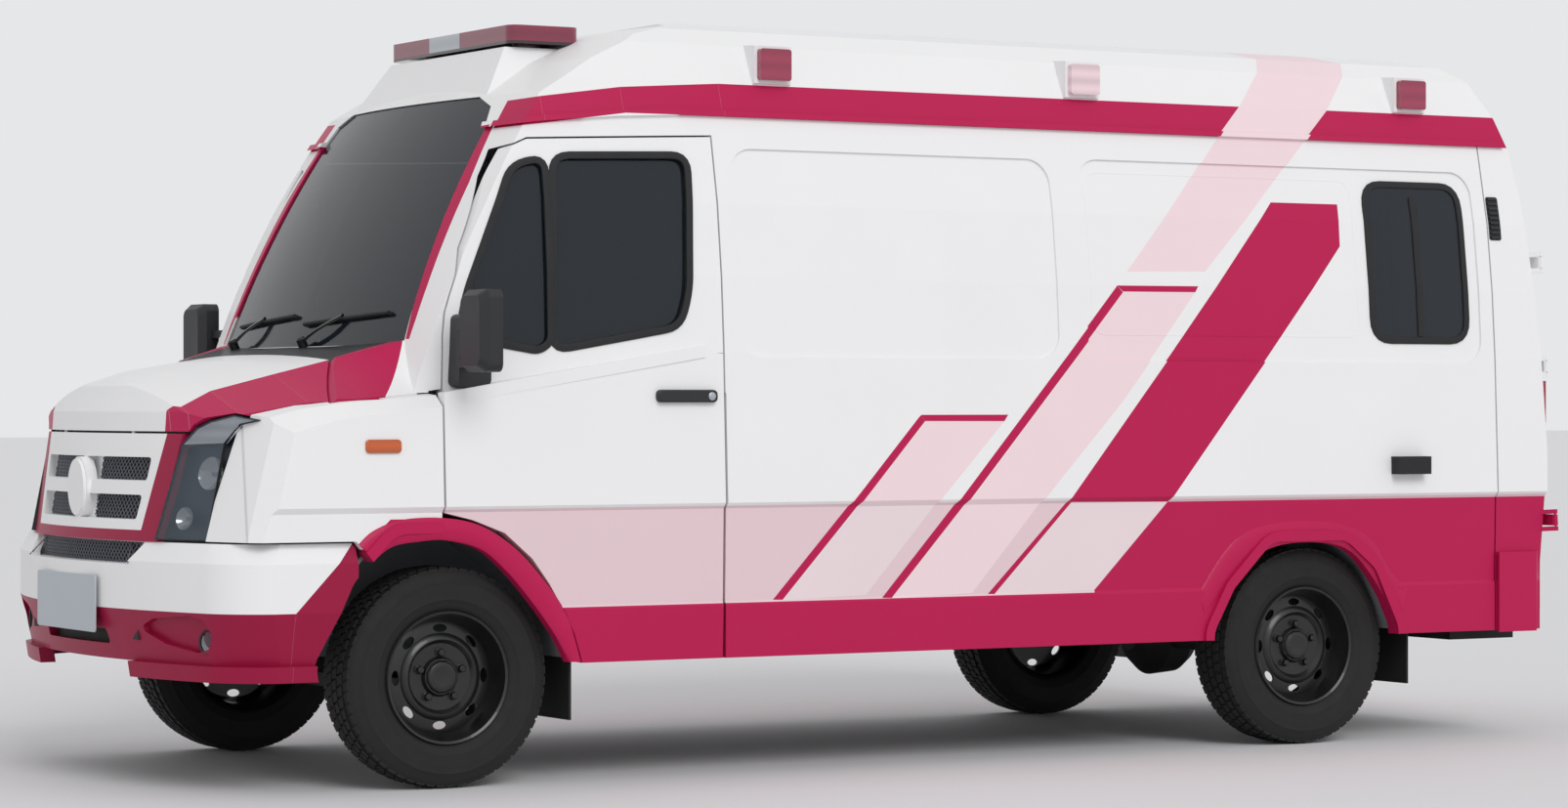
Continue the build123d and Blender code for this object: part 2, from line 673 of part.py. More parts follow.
badge_height = 938
with BuildPart() as badge:
    with BuildSketch(Plane.YZ.offset(ahead(845))):
        with Locations((0, badge_height)):
            Ellipse(78, 98)
    extrude(amount=36)
    with BuildSketch(Plane.YZ.offset(ahead(881))):
        with Locations((0, badge_height)):
            Ellipse(70, 90)
    extrude(amount=10)

with BuildPart() as grille:
    add(nose_volume(grille_profile, 0))
    add(nose_volume(grille_back, grille_depth), mode=Mode.SUBTRACT)
    add(left_block, mode=Mode.INTERSECT)
    extrude(front_face(grille_outline), amount=700, mode=Mode.INTERSECT)
    extrude(lamp_outline(lamp_gap, 30), amount=-160, mode=Mode.SUBTRACT)
    for foot, head, foot_y, head_y in ((965, 1038, 440, 450), (843, 920, 412, 428)):
        opening = [(bar_half, foot), (foot_y, foot), (head_y, head), (bar_half, head)]
        extrude(front_face(opening, radius=12), amount=700, mode=Mode.SUBTRACT)
    with Locations((ahead(809), 300, bonnet_stop_z)):
        Cylinder(6, 12, align=(Align.CENTER, Align.CENTER, Align.MAX))
    mirror(about=Plane.XZ)
    add(grille_mesh.part)
    add(badge.part)
grille.part.label = "grille"
export_step(grille.part, "parts/grille.step")

# ---------------------------------------------------------------- wings

# wing top: ahead of the front axle, inner Y, inner height, shoulder Y, shoulder height, height at the side
wing_sections = ((56, 860, 1237, 925, 1232, 1185), (376, 870, 1218, 925, 1208, 1150),
                 (504, 830, 1205, 915, 1190, 1120), (800, 720, 1140, 860, 1110, 1040))
corner_normal = Vector(0.918, 0.314, 0.241)
# takes the sharp edge off the wing's front corner
rounding_plane = Plane(origin=(ahead(692), 930, 783), z_dir=Vector(0.72, 0.66, 0.2))


def wing_block(inset):
    """Solid wing, left side, from the cab door to the nose corner."""
    faces = []
    for x, inner_y, inner_z, shoulder_y, shoulder_z, side_z in wing_sections:
        faces.append(section_face([(inner_y, inner_z - inset), (shoulder_y, shoulder_z - inset),
                                   (990, side_z - inset), (990, 300), (inner_y, 300)], ahead(x)))
    corner_plane = Plane(origin=(ahead(753) - inset, 750, 783), z_dir=corner_normal)
    with BuildPart() as block:
        loft(faces, ruled=True)
        outer = [(half_width - i - inset, z) for z, i in side_profile if z < 1400]
        extrude(section_face([(500, sill_z)] + outer + [(500, outer[-1][1])], ahead(0)), amount=900, mode=Mode.INTERSECT)
        with Locations(corner_plane):
            Box(3000, 3000, 1000, align=(Align.CENTER, Align.CENTER, Align.MIN), mode=Mode.SUBTRACT)
        with Locations(rounding_plane.offset(-inset)):
            Box(3000, 3000, 1000, align=(Align.CENTER, Align.CENTER, Align.MIN), mode=Mode.SUBTRACT)
    return block.part


flare_seam = ((346, 782), (200, 600))      # between the front flare and the bumper, in side view
wing_front = 790
# groove between the lamp's corner panel and the wing, in side view
corner_groove = ((640, 1180), (644, 1180), (694, 770), (690, 770))
groove_depth = 4

with BuildPart() as wing_hollow:
    add(wing_block(skin))
    Box(3 * half_length, 2 * 700, 4000, mode=Mode.SUBTRACT)

with BuildPart() as wing_groove:
    extrude(side_face(corner_groove), amount=-half_width)
    add(wing_block(groove_depth), mode=Mode.SUBTRACT)

with BuildPart() as fender_left:
    add(wing_block(0))
    add(wing_groove.part, mode=Mode.SUBTRACT)
    add(wing_hollow.part, mode=Mode.SUBTRACT)
    extrude(plan_face([(30, 300), (30, 940), (560, 930), (640, 700), (640, 300)], 0), amount=1130,
            mode=Mode.SUBTRACT)
    extrude(grown(front_arch, flare_width, arch_corner), amount=-(half_width - 2))
    extrude(side_face([(56, 0), (wing_front, 0), (wing_front, 1300), (56, 1300)]), amount=-half_width,
            mode=Mode.INTERSECT)
    extrude(side_face([(0, 0), (560, 0), (560, 1140), (0, 1140)]), amount=-lining_y - seat_gap, mode=Mode.SUBTRACT)
    extrude(side_face(front_arch, arch_corner), amount=-1100, mode=Mode.SUBTRACT)
    extrude(side_face([(-10, 0), (1000, 0), (1000, bumper_top + shut_gap), *flare_seam, (-10, 600)]),
            amount=-1100, mode=Mode.SUBTRACT)
    extrude(plan_face([(0, 0), (0, 850), (75, 865), (300, 908), (406, 908), (406, 0)], 1140), amount=200, mode=Mode.SUBTRACT)
    add(bonnet_loft(-swing_gap, bonnet_flange + swing_gap), mode=Mode.SUBTRACT)
    extrude(lamp_outline(lamp_gap, 30), amount=-160, mode=Mode.SUBTRACT)
fender_left.part.label = "fender_left"
export_step(fender_left.part, "parts/fender_left.step")

with BuildPart() as fender_right:
    mirror(fender_left.part, about=Plane.XZ)
fender_right.part.label = "fender_right"
export_step(fender_right.part, "parts/fender_right.step")

# ---------------------------------------------------------------- bumper

bumper_rear = 340        # its ends, ahead of the front axle


def bumper_plan(inset, z):
    """Bumper plan outline, closed across its open back."""
    nose = front_overhang - inset
    side = half_width - 14 - inset
    with BuildSketch(Plane.XY.offset(z)) as face:
        with BuildLine():
            ThreePointArc((ahead(nose - 133), 800), (ahead(nose), 0), (ahead(nose - 133), -800))
            ThreePointArc((ahead(nose - 133), 800), (ahead(nose - 195), side - 63), (ahead(nose - 300), side))
            ThreePointArc((ahead(nose - 133), -800), (ahead(nose - 195), 63 - side), (ahead(nose - 300), -side))
            Polyline((ahead(nose - 300), side), (ahead(bumper_rear), side), (ahead(bumper_rear), -side),
                     (ahead(nose - 300), -side))
        make_face()
    return face.sketch


# bumper face and the chin lips below it, top to bottom: height, inset
bumper_levels = ((bumper_top, 34), (716, 0), (565, 0), (480, 22), (402, 40))
chin_levels = ((402, 18), (352, 26))
bumper_wall = 30


def bumper_block(levels, inset, reach=0):
    """Solid behind the bumper's face between its first and last level, moved in by the inset."""
    with BuildPart() as block:
        for (high_z, high_inset), (low_z, low_inset) in zip(levels, levels[1:]):
            loft([bumper_plan(low_inset + inset, low_z - reach), bumper_plan(high_inset + inset, high_z)], ruled=True)
    return block.part


# front view outlines (Y, height)
air_notch = ((-475, 800), (475, 800), (475, 771), (425, 706), (-425, 706), (-475, 771))
air_slot = ((-262, 497), (262, 497), (275, 450), (-275, 450))
fog_scoop = ((470, 508), (560, 540), (745, 556), (800, 545), (822, 500), (800, 455), (745, 440), (600, 462))
scoop_depth = 20

with BuildPart() as fog_scoops:
    extrude(front_face(fog_scoop, radius=14), amount=700)
    add(bumper_block(bumper_levels, scoop_depth), mode=Mode.SUBTRACT)
    mirror(about=Plane.XZ)

# mesh panel behind the notch and the shelf that holds it
with BuildPart() as air_panel:
    extrude(bumper_plan(20, 696), amount=10)
    extrude(bumper_plan(50, 696), amount=bumper_top - 696)
    extrude(bumper_plan(56, 690), amount=100, mode=Mode.SUBTRACT)
    Box(2 * overall_length, 2 * 480, 4000, mode=Mode.INTERSECT)

with BuildPart() as front_bumper:
    add(bumper_block(bumper_levels, 0))
    add(bumper_block(chin_levels, 0))
    add(bumper_block(bumper_levels, bumper_wall), mode=Mode.SUBTRACT)
    add(bumper_block(chin_levels, bumper_wall + 22, 1), mode=Mode.SUBTRACT)
    with Locations((0, 0, chin_levels[0][0])):
        Box(2 * overall_length, 2 * 400, 400, align=(Align.CENTER, Align.CENTER, Align.MAX), mode=Mode.SUBTRACT)
    extrude(front_face(air_notch), amount=700, mode=Mode.SUBTRACT)
    extrude(front_face(air_slot, radius=12), amount=700, mode=Mode.SUBTRACT)
    add(fog_scoops.part, mode=Mode.SUBTRACT)
    add(air_panel.part)
    add(floor.part, mode=Mode.SUBTRACT)
    extrude(lamp_outline(lamp_gap, 30), amount=-160, mode=Mode.SUBTRACT)
    extrude(lamp_outline(lamp_gap, 30, -1), amount=-160, mode=Mode.SUBTRACT)
    extrude(side_face([(0, 1000), *[(x + 8, z) for x, z in ((346, 1000), *flare_seam)], (0, 600)]),
            amount=1100, both=True, mode=Mode.SUBTRACT)
    extrude(side_face(front_arch, arch_corner), amount=1100, both=True, mode=Mode.SUBTRACT)
front_bumper.part.label = "front_bumper"
export_step(front_bumper.part, "parts/front_bumper.step")

# ---------------------------------------------------------------- running gear

axle_z = 348
tyre_diameter = 2 * axle_z
tyre_width = 215
rim_diameter = 381
wheel_y = track / 2
kingpin_y = 735
rail_y = 430
rail_front = 860          # cut back to the inside of the bumper

with BuildPart() as chassis:
    for side in (1, -1):
        extrude(side_face([(rail_front, 470), (-4250, 470), (-4250, floor_top - floor_thickness),
                           (rail_front, floor_top - floor_thickness)]),
                amount=-side * (rail_y + 35))
    Box(3 * half_length, 2 * (rail_y - 35), 4000, mode=Mode.SUBTRACT)
    add(front_bumper.part, mode=Mode.SUBTRACT)
    for x in (660, -1000, -2000, -2650, -3350, -4200):
        with Locations((ahead(x), 0, 545)):
            Box(60, 2 * (rail_y - 30), 90)
chassis.part.label = "chassis"
export_step(chassis.part, "parts/chassis.step")

with BuildPart() as engine:
    with Locations((ahead(360), 0, 780)):
        Box(460, 560, 560)
    with Locations((ahead(300), 0, 545)):
        Box(80, 2 * (rail_y - 35 - seat_gap), 60)
    with Locations((ahead(-210), 0, 500)):
        Box(720, 260, 170)
engine.part.label = "engine"
export_step(engine.part, "parts/engine.step")

with BuildPart() as front_axle:
    with Locations((ahead(0), 0, 300)):
        Box(70, 2 * (kingpin_y - 60), 60)
    for side in (1, -1):
        with Locations((ahead(0), side * kingpin_y, axle_z)):
            Cylinder(32, 90)
        with Locations((ahead(0), side * (kingpin_y - 60), axle_z - 3)):
            Box(60, 90, 76)
front_axle.part.label = "front_axle"
export_step(front_axle.part, "parts/front_axle.step")

with BuildPart() as knuckle_left:
    for z in (axle_z + 45 + 10 + seat_gap, axle_z - 45 - 10 - seat_gap):
        with Locations((front_axle_x, kingpin_y, z)):
            Cylinder(34, 20)
        with Locations((front_axle_x, kingpin_y + 29, z)):
            Box(60, 58, 20)
    with Locations((front_axle_x, kingpin_y + 48, axle_z)):
        Box(60, 20, 130 + 2 * seat_gap)
    with BuildSketch(Plane.XZ.offset(-(kingpin_y + 58))):
        with Locations((front_axle_x, axle_z)):
            Circle(24)
    extrude(amount=-(wheel_y + 49 - kingpin_y - 58))
knuckle_left.part.label = "knuckle_left"
export_step(knuckle_left.part, "parts/knuckle_left.step")

with BuildPart() as knuckle_right:
    mirror(knuckle_left.part, about=Plane.XZ)
knuckle_right.part.label = "knuckle_right"
export_step(knuckle_right.part, "parts/knuckle_right.step")

# final drive casing: behind and ahead of the axle line, radius
casing_profile = ((-150, 0), (-140, 62), (-105, 112), (-60, 142), (40, 150), (90, 110), (130, 60), (130, 0))

with BuildPart() as rear_axle:
    with BuildSketch(Plane.XZ.offset(-710)):
        with Locations((rear_axle_x, axle_z)):
            Circle(50)
    extrude(amount=1420)
    with BuildSketch(Plane.XZ):
        Polygon(*[(rear_axle_x + x, axle_z + r) for x, r in casing_profile], align=None)
    revolve(axis=Axis((rear_axle_x, 0, axle_z), (1, 0, 0)))
    for side in (1, -1):
        with BuildSketch(Plane.XZ.offset(-side * 700)):
            with Locations((rear_axle_x, axle_z)):
                Circle(24)
        extrude(amount=-side * (wheel_y + 49 - 700))
    with BuildSketch(Plane.YZ.offset(rear_axle_x + 100)):
        with Locations((0, axle_z + 10)):
            Circle(45)
    extrude(amount=80)
rear_axle.part.label = "rear_axle"
export_step(rear_axle.part, "parts/rear_axle.step")

with BuildPart() as propeller_shaft:
    with BuildSketch(Plane.YZ.offset(ahead(-570 - seat_gap))):
        with Locations((0, 480)):
            Circle(38)
    with BuildSketch(Plane.YZ.offset(rear_axle_x + 180 + seat_gap)):
        with Locations((0, axle_z + 10)):
            Circle(38)
    loft()
propeller_shaft.part.label = "propeller_shaft"
export_step(propeller_shaft.part, "parts/propeller_shaft.step")

spring_half = 620
with BuildPart() as leaf_springs:
    for axle_x, seat_z in ((front_axle_x, 330 + seat_gap), (rear_axle_x, axle_z + 50 + seat_gap)):
        for side in (1, -1):
            with BuildSketch(Plane.XZ.offset(-(side * rail_y) - 35)) as leaf:
                with BuildLine():
                    a = ThreePointArc((axle_x - spring_half, 450), (axle_x, seat_z), (axle_x + spring_half, 450))
                    b = ThreePointArc((axle_x - spring_half, 470 - seat_gap), (axle_x, seat_z + 45), (axle_x + spring_half, 470 - seat_gap))
                    Line(a @ 0, b @ 0)
                    Line(a @ 1, b @ 1)
                make_face()
            extrude(amount=70)
leaf_springs.part.label = "leaf_springs"
export_step(leaf_springs.part, "parts/leaf_springs.step")

# rim section: outwards from the wheel's middle, radius; a blind bore takes the stub axle
rim_radius = rim_diameter / 2 - seat_gap
barrel = rim_radius - 18
rim_profile = ((-84, rim_radius), (84, rim_radius), (84, barrel), (24, barrel), (42, 108), (42, 62), (48, 50),
               (60, 42), (60, 0), (50, 0), (50, 24 + seat_gap), (28, 24 + seat_gap), (28, 108), (8, barrel),
               (-84, barrel))
vent_ring = 138

# tyre section: outwards from the wheel's middle, radius; tread and outside of the walls, then the cavity
tread_radius = tyre_diameter / 2
bead_radius = rim_diameter / 2
tyre_profile = (
    (-84, bead_radius), (-107, 262), (-101, 308), (-82, tread_radius - 9), (0, tread_radius),
    (82, tread_radius - 9), (101, 308), (107, 262), (84, bead_radius), (66, bead_radius), (93, 258),
    (70, tread_radius - 26), (-70, tread_radius - 26), (-93, 258), (-66, bead_radius),
)

wheel_places = (("front_left", front_axle_x, 1), ("front_right", front_axle_x, -1),
                ("rear_left", rear_axle_x, 1), ("rear_right", rear_axle_x, -1))

for place, x, side in wheel_places:
    centre = Plane(origin=(x, side * wheel_y, axle_z), x_dir=(1, 0, 0), z_dir=(0, side, 0))
    spin = Axis((x, side * wheel_y, axle_z), (0, 1, 0))
    with BuildPart() as tyre:
        with BuildSketch(Plane.YZ.offset(x)):
            Polygon(*[(side * (wheel_y + out), axle_z + r) for out, r in tyre_profile], align=None)
        revolve(axis=spin)
    tyre.part.label = f"tyre_{place}"
    export_step(tyre.part, f"parts/tyre_{place}.step")

    with BuildPart() as rim:
        with BuildSketch(Plane.YZ.offset(x)):
            Polygon(*[(side * (wheel_y + out), axle_z + r) for out, r in rim_profile], align=None)
        revolve(axis=spin)
        with BuildSketch(centre):
            with PolarLocations(vent_ring, 10):
                SlotOverall(44, 26, rotation=90)
        extrude(amount=80, mode=Mode.SUBTRACT)
    rim.part.label = f"rim_{place}"
    export_step(rim.part, f"parts/rim_{place}.step")

# ---------------------------------------------------------------- roof fittings

with BuildPart() as lightbar:
    extrude(plan_face([(-432, 470), (-432, -470), (-690, -470), (-690, 470)], 2397, radius=40), amount=50)
    for side in (1, -1):
        with Locations((ahead(-560), side * 330, 2397)):
            Box(80, 60, 60, align=(Align.CENTER, Align.CENTER, Align.MAX))
    extrude(plan_face([(-432, 470), (-432, -470), (-690, -470), (-690, 470)], 2386, radius=40), amount=11)
    add(roof.part, mode=Mode.SUBTRACT)
lightbar.part.label = "lightbar"
export_step(lightbar.part, "parts/lightbar.step")

beacon_stations = (-1205, -2435, -3865)
beacon_z = 2318
beacon_face = 868        # outer face of a beacon lens
housing_face = 846
with BuildPart() as beacon_housings:
    for x in beacon_stations:
        # wedge in cross section: it reaches further out at its top than the roof side does
        extrude(section_face([(770, 2385), (housing_face, beacon_z + 62), (housing_face, beacon_z - 62), (770, 2240)],
                             ahead(x - 70)), amount=140)
    add(roof.part, mode=Mode.SUBTRACT)
    add(cab_inner, mode=Mode.SUBTRACT)
    add(van_inner, mode=Mode.SUBTRACT)
    mirror(about=Plane.XZ)
beacon_housings.part.label = "beacon_housings"
export_step(beacon_housings.part, "parts/beacon_housings.step")

with BuildPart() as beacons:
    for x in beacon_stations:
        with Locations((ahead(x), housing_face, beacon_z)):
            Box(118, beacon_face - housing_face, 104, align=(Align.CENTER, Align.MIN, Align.CENTER))
    fillet(beacons.edges().filter_by(Axis.Y), 10)
    mirror(about=Plane.XZ)
beacons.part.label = "beacons"
export_step(beacons.part, "parts/beacons.step")

# ---------------------------------------------------------------- mirrors

with BuildPart() as mirror_left:
    extrude(side_face([(-5, 1255), (-120, 1262), (-120, 1470), (-20, 1490)], radius=20), amount=-960)
    add(cab_outer, mode=Mode.SUBTRACT)
    Box(3 * half_length, 2 * 800, 6000, mode=Mode.SUBTRACT)
    add(cab_door_left.part, mode=Mode.SUBTRACT)
    for z in (1330, 1450):
        with Locations((ahead(-20), 1010, z)):
            Box(26, 140, 26)
    with BuildSketch(Plane.YZ.offset(ahead(-35))):
        with Locations((1130, 1430)):
            RectangleRounded(170, 255, 28)
    extrude(amount=46)
    with BuildSketch(Plane.YZ.offset(ahead(11))):
        with Locations((1130, 1430)):
            RectangleRounded(170, 255, 28)
    with BuildSketch(Plane.YZ.offset(ahead(38))):
        with Locations((1130, 1430)):
            RectangleRounded(134, 216, 28)
    loft()
mirror_left.part.label = "mirror_left"
export_step(mirror_left.part, "parts/mirror_left.step")

with BuildPart() as mirror_right:
    mirror(mirror_left.part, about=Plane.XZ)
mirror_right.part.label = "mirror_right"
export_step(mirror_right.part, "parts/mirror_right.step")

# ---------------------------------------------------------------- rear lamps, bumper and rubber

with BuildPart() as tail_lamps:
    with Locations((ahead(-4408), 925, 1084)):
        Box(90, 70, 407, align=(Align.MIN, Align.CENTER, Align.CENTER))
    add(van_outer, mode=Mode.SUBTRACT)
    mirror(about=Plane.XZ)
tail_lamps.part.label = "tail_lamps"
export_step(tail_lamps.part, "parts/tail_lamps.step")

bumper_end = -4166       # front edge of the rear bumper's side pieces, behind the body side's seam
wrap_foot, wrap_head = 378, 667
step_top = 377
wrap_outline = ((bumper_end, half_width), (-4340, half_width), (-4392, half_width - 42), (-4416, 0),
                (-4392, 42 - half_width), (-4340, -half_width), (bumper_end, -half_width))


def wrap_block(inset, foot, head):
    """Solid inside the rear bumper's outer face, moved in by the inset."""
    outline = [(x + inset * (x < bumper_end), y - copysign(inset, y) * (y != 0)) for x, y in wrap_outline]
    with BuildPart() as block:
        extrude(plan_face(outline, foot), amount=head - foot)
    return block.part


with BuildPart() as rear_bumper:
    add(wrap_block(0, wrap_foot, wrap_head))
    add(wrap_block(12, wrap_foot - 1, wrap_head - 12), mode=Mode.SUBTRACT)
    extrude(side_face([(-4420, 500), (-4420, wrap_foot - 1), (-4340, wrap_foot - 1)]), amount=half_width + 10,
            both=True, mode=Mode.SUBTRACT)
    for side in (1, -1):
        with Locations((ahead(-4368), side * rail_y, step_top)):
            Box(46, 90, 260, align=(Align.MAX, Align.CENTER, Align.MIN))
    with Locations((-half_length, 0, step_top)):
        Box(300, 1500, 38, align=(Align.MIN, Align.CENTER, Align.MAX))
    add(van_outer, mode=Mode.SUBTRACT)
rear_bumper.part.label = "rear_bumper"
export_step(rear_bumper.part, "parts/rear_bumper.step")

with BuildPart() as mud_flaps:
    for x, y in ((-420, 800), (-3800, 800)):
        for side in (1, -1):
            with Locations((ahead(x), side * y, 400)):
                Box(8, 230, 400)
mud_flaps.part.label = "mud_flaps"
export_step(mud_flaps.part, "parts/mud_flaps.step")

stop_reach = half_width + 42
with BuildPart() as door_stops:
    with Locations((ahead(-3745), 960, 985)):
        Box(145, stop_reach - 960, 63, align=(Align.CENTER, Align.MIN, Align.CENTER))
    add(van_outer, mode=Mode.SUBTRACT)
    mirror(about=Plane.XZ)
door_stops.part.label = "door_stops"
export_step(door_stops.part, "parts/door_stops.step")

# ---------------------------------------------------------------- inside

with BuildPart() as dashboard:
    extrude(side_face([(59.7, 1165), (59.7, 940), (-60, 900), (-190, 1030), (-170, 1160), (-40, 1225), (40, 1225)],
                      radius=20),
            amount=780, both=True)
dashboard.part.label = "dashboard"
export_step(dashboard.part, "parts/dashboard.step")

column_foot = Vector(ahead(-120), -400, 1080)
column_head = Vector(ahead(-290), -400, 1170)
column_line = (column_head - column_foot).normalized()

with BuildPart() as steering_wheel:
    head = Plane(origin=column_head, x_dir=(0, 1, 0), z_dir=column_line)
    with BuildSketch(Plane(origin=column_head, x_dir=(0, 1, 0), z_dir=column_line.cross(Vector(0, 1, 0)))):
        with Locations((200, 0)):
            RegularPolygon(15, 8)
    revolve(axis=Axis(column_head, column_line))
    with BuildSketch(head):
        Circle(70)
        Rectangle(390, 36)
        with Locations((0, 0)):
            Rectangle(36, 390)
    extrude(amount=16, both=True)
steering_wheel.part.label = "steering_wheel"
export_step(steering_wheel.part, "parts/steering_wheel.step")

with BuildPart() as steering_column:
    with BuildSketch(Plane(origin=column_head - column_line * (16 + seat_gap), x_dir=(0, 1, 0), z_dir=column_line * -1)):
        Circle(28)
    extrude(amount=160)
    add(dashboard.part, mode=Mode.SUBTRACT)
steering_column.part.label = "steering_column"
export_step(steering_column.part, "parts/steering_column.step")

with BuildPart() as seats:
    for y in (400, -400):
        with Locations((ahead(-680), y, floor_top)):
            Box(400, 420, 250, align=(Align.CENTER, Align.CENTER, Align.MIN))
        with Locations((ahead(-660), y, floor_top + 250)):
            Box(480, 480, 130, align=(Align.CENTER, Align.CENTER, Align.MIN))
        extrude(side_face([(-900, 1010), (-780, 1010), (-850, 1620), (-950, 1620)], radius=30), amount=-(y + 230))
    Box(3 * half_length, 2 * 170, 6000, mode=Mode.SUBTRACT)
seats.part.label = "seats"
export_step(seats.part, "parts/seats.step")

# posts behind each cab door's rear edge and beside the firewall
post_foot = floor_top
post_head = 2085
with BuildPart() as door_posts:
    lining = [(half_width - wall - 2 * seat_gap - i, z) for z, i in side_profile]
    extrude(section_face(lining + [(y - 30, z) for y, z in reversed(lining)], ahead(-1004.7)), amount=79.7)
    Box(3 * half_length, 3 * half_width, 2 * post_foot, mode=Mode.SUBTRACT)
    extrude(side_face([(-1100, post_head), (0, post_head), (0, 2200), (-1100, 2200)]), amount=-1100,
            mode=Mode.SUBTRACT)
    with Locations((ahead(85 + seat_gap), 820, firewall_top - seat_gap)):
        Box(30, 95, firewall_top - 850, align=(Align.MIN, Align.MIN, Align.MAX))
    mirror(about=Plane.XZ)
door_posts.part.label = "door_posts"
export_step(door_posts.part, "parts/door_posts.step")

with BuildPart() as partition:
    add(van_volume(wall + seat_gap, sill_z))
    extrude(side_face([(-1030, floor_top), (-1005, floor_top), (-1005, 2600), (-1030, 2600)]), amount=1100, both=True, mode=Mode.INTERSECT)
    extrude(section_face([(-350, 1450), (350, 1450), (350, 1850), (-350, 1850)], ahead(-1100)), amount=150, mode=Mode.SUBTRACT)
partition.part.label = "partition"
export_step(partition.part, "parts/partition.step")

with BuildPart() as bench:
    with Locations((ahead(-2700), 900, floor_top)):
        Box(1900, 420, 400, align=(Align.CENTER, Align.MAX, Align.MIN))
    extrude(grown(axle_points(rear_arch, rear_axle_x), house_wall + 14, arch_corner), amount=-950, mode=Mode.SUBTRACT)
bench.part.label = "bench"
export_step(bench.part, "parts/bench.step")

with BuildPart() as fuel_tank:
    with Locations((ahead(-1900), -680, floor_top - floor_thickness - seat_gap)):
        Box(900, 340, 200, align=(Align.CENTER, Align.CENTER, Align.MAX))
    fillet(fuel_tank.edges().filter_by(Axis.X), 40)
fuel_tank.part.label = "fuel_tank"
export_step(fuel_tank.part, "parts/fuel_tank.step")
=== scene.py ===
import math
import bpy
import bmesh
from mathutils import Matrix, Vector
from mathutils.bvhtree import BVHTree


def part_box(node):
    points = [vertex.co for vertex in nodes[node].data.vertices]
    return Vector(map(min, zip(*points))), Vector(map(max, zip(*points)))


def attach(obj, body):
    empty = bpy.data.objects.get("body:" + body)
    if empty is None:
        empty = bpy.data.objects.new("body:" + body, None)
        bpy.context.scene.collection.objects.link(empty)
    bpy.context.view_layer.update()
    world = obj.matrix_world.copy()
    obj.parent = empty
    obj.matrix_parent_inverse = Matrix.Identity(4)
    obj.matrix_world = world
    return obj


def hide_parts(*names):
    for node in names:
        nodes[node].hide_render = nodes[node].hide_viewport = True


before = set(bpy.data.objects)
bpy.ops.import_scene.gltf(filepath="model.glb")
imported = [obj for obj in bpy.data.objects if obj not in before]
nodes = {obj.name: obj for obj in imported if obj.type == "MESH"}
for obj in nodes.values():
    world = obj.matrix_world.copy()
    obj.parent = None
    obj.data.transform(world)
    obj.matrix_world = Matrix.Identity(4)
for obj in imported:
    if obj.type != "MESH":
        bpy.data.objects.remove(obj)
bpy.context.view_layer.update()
print("frame loaded:", len(nodes), "CAD nodes")

# places along X, in metres from the middle of the vehicle
frontAxle = 1.755
rearAxle = -1.595
sides = (("left", 1), ("right", -1))


# a place along X given in millimetres ahead of the front axle
def ahead(mm):
    return frontAxle + mm / 1000


# colours are written as sRGB hex and turned to linear here, once
def linear(hexText, alpha=1.0):
    channels = [int(hexText[i:i + 2], 16) / 255 for i in (1, 3, 5)]
    return [c / 12.92 if c <= 0.04045 else ((c + 0.055) / 1.055) ** 2.4 for c in channels] + [alpha]


# adds one node: settings are its properties or its inputs' values, links are inputs fed by sockets
def addNode(tree, kind, settings=None, links=None):
    made = tree.nodes.new("ShaderNode" + kind)
    for key, value in (settings or {}).items():
        if isinstance(key, int) or key in made.inputs:
            made.inputs[key].default_value = value
        else:
            setattr(made, key, value)
    for key, source in (links or {}).items():
        tree.links.new(source, made.inputs[key])
    return made


# a material with constants on its main shader, returned with its node tree and that shader
def newMaterial(name, **sockets):
    made = bpy.data.materials.new(name)
    made.use_nodes = True
    shader = made.node_tree.nodes["Principled BSDF"]
    for socket, value in sockets.items():
        shader.inputs[socket.replace("_", " ")].default_value = value
    return made, made.node_tree, shader


# a new object, linked to the scene
def placed(name, data):
    made = bpy.data.objects.new(name, data)
    bpy.context.scene.collection.objects.link(made)
    return made


def roundEdges(made, edgeMm, segments):
    edge = made.modifiers.new("edge", "BEVEL")
    edge.width = edgeMm / 1000
    edge.segments = segments
    edge.limit_method = "ANGLE"


# gives CAD nodes one material
def wear(material, *nodeNames):
    for nodeName in nodeNames:
        node = nodes[nodeName]
        node.data.materials.clear()
        node.data.materials.append(material)


# camera: level, from the left of the front

view = {
    "place": (7.3405, 12.5402, 1.212),
    "along": (-0.5045, -0.8634, 0.0),
    "lens": 94.43,
    "sensor": 36.0,
    "shift": -0.00156,
    "clipEnd": 200,
}
cameraData = bpy.data.cameras.new("viewCamera")
cameraData.lens = view["lens"]
cameraData.sensor_width = view["sensor"]
cameraData.shift_y = view["shift"]
cameraData.clip_end = view["clipEnd"]
camera = placed("viewCamera", cameraData)
camera.location = view["place"]
camera.rotation_euler = Vector(view["along"]).to_track_quat("-Z", "Y").to_euler()
bpy.context.scene.camera = camera
print("camera set")

# studio: a pale floor and backdrop, an even sky and one wide soft sun

studio = {
    "floorSide": 240.0,
    "floorColour": "#e4e4e6",
    "floorRoughness": 0.8,
    "backColour": "#e6e7e9",
    "skyStrength": 0.62,
    "sunStrength": 1.12,
    "sunFrom": (0.1, 0.8, 0.58),
    "sunAngle": 0.5,          # radians across: a wide source, so that shadows stay soft
}

bpy.context.scene.view_settings.view_transform = "Standard"
world = bpy.data.worlds.new("studioWorld")
bpy.context.scene.world = world
world.use_nodes = True
worldTree = world.node_tree
worldTree.nodes.clear()
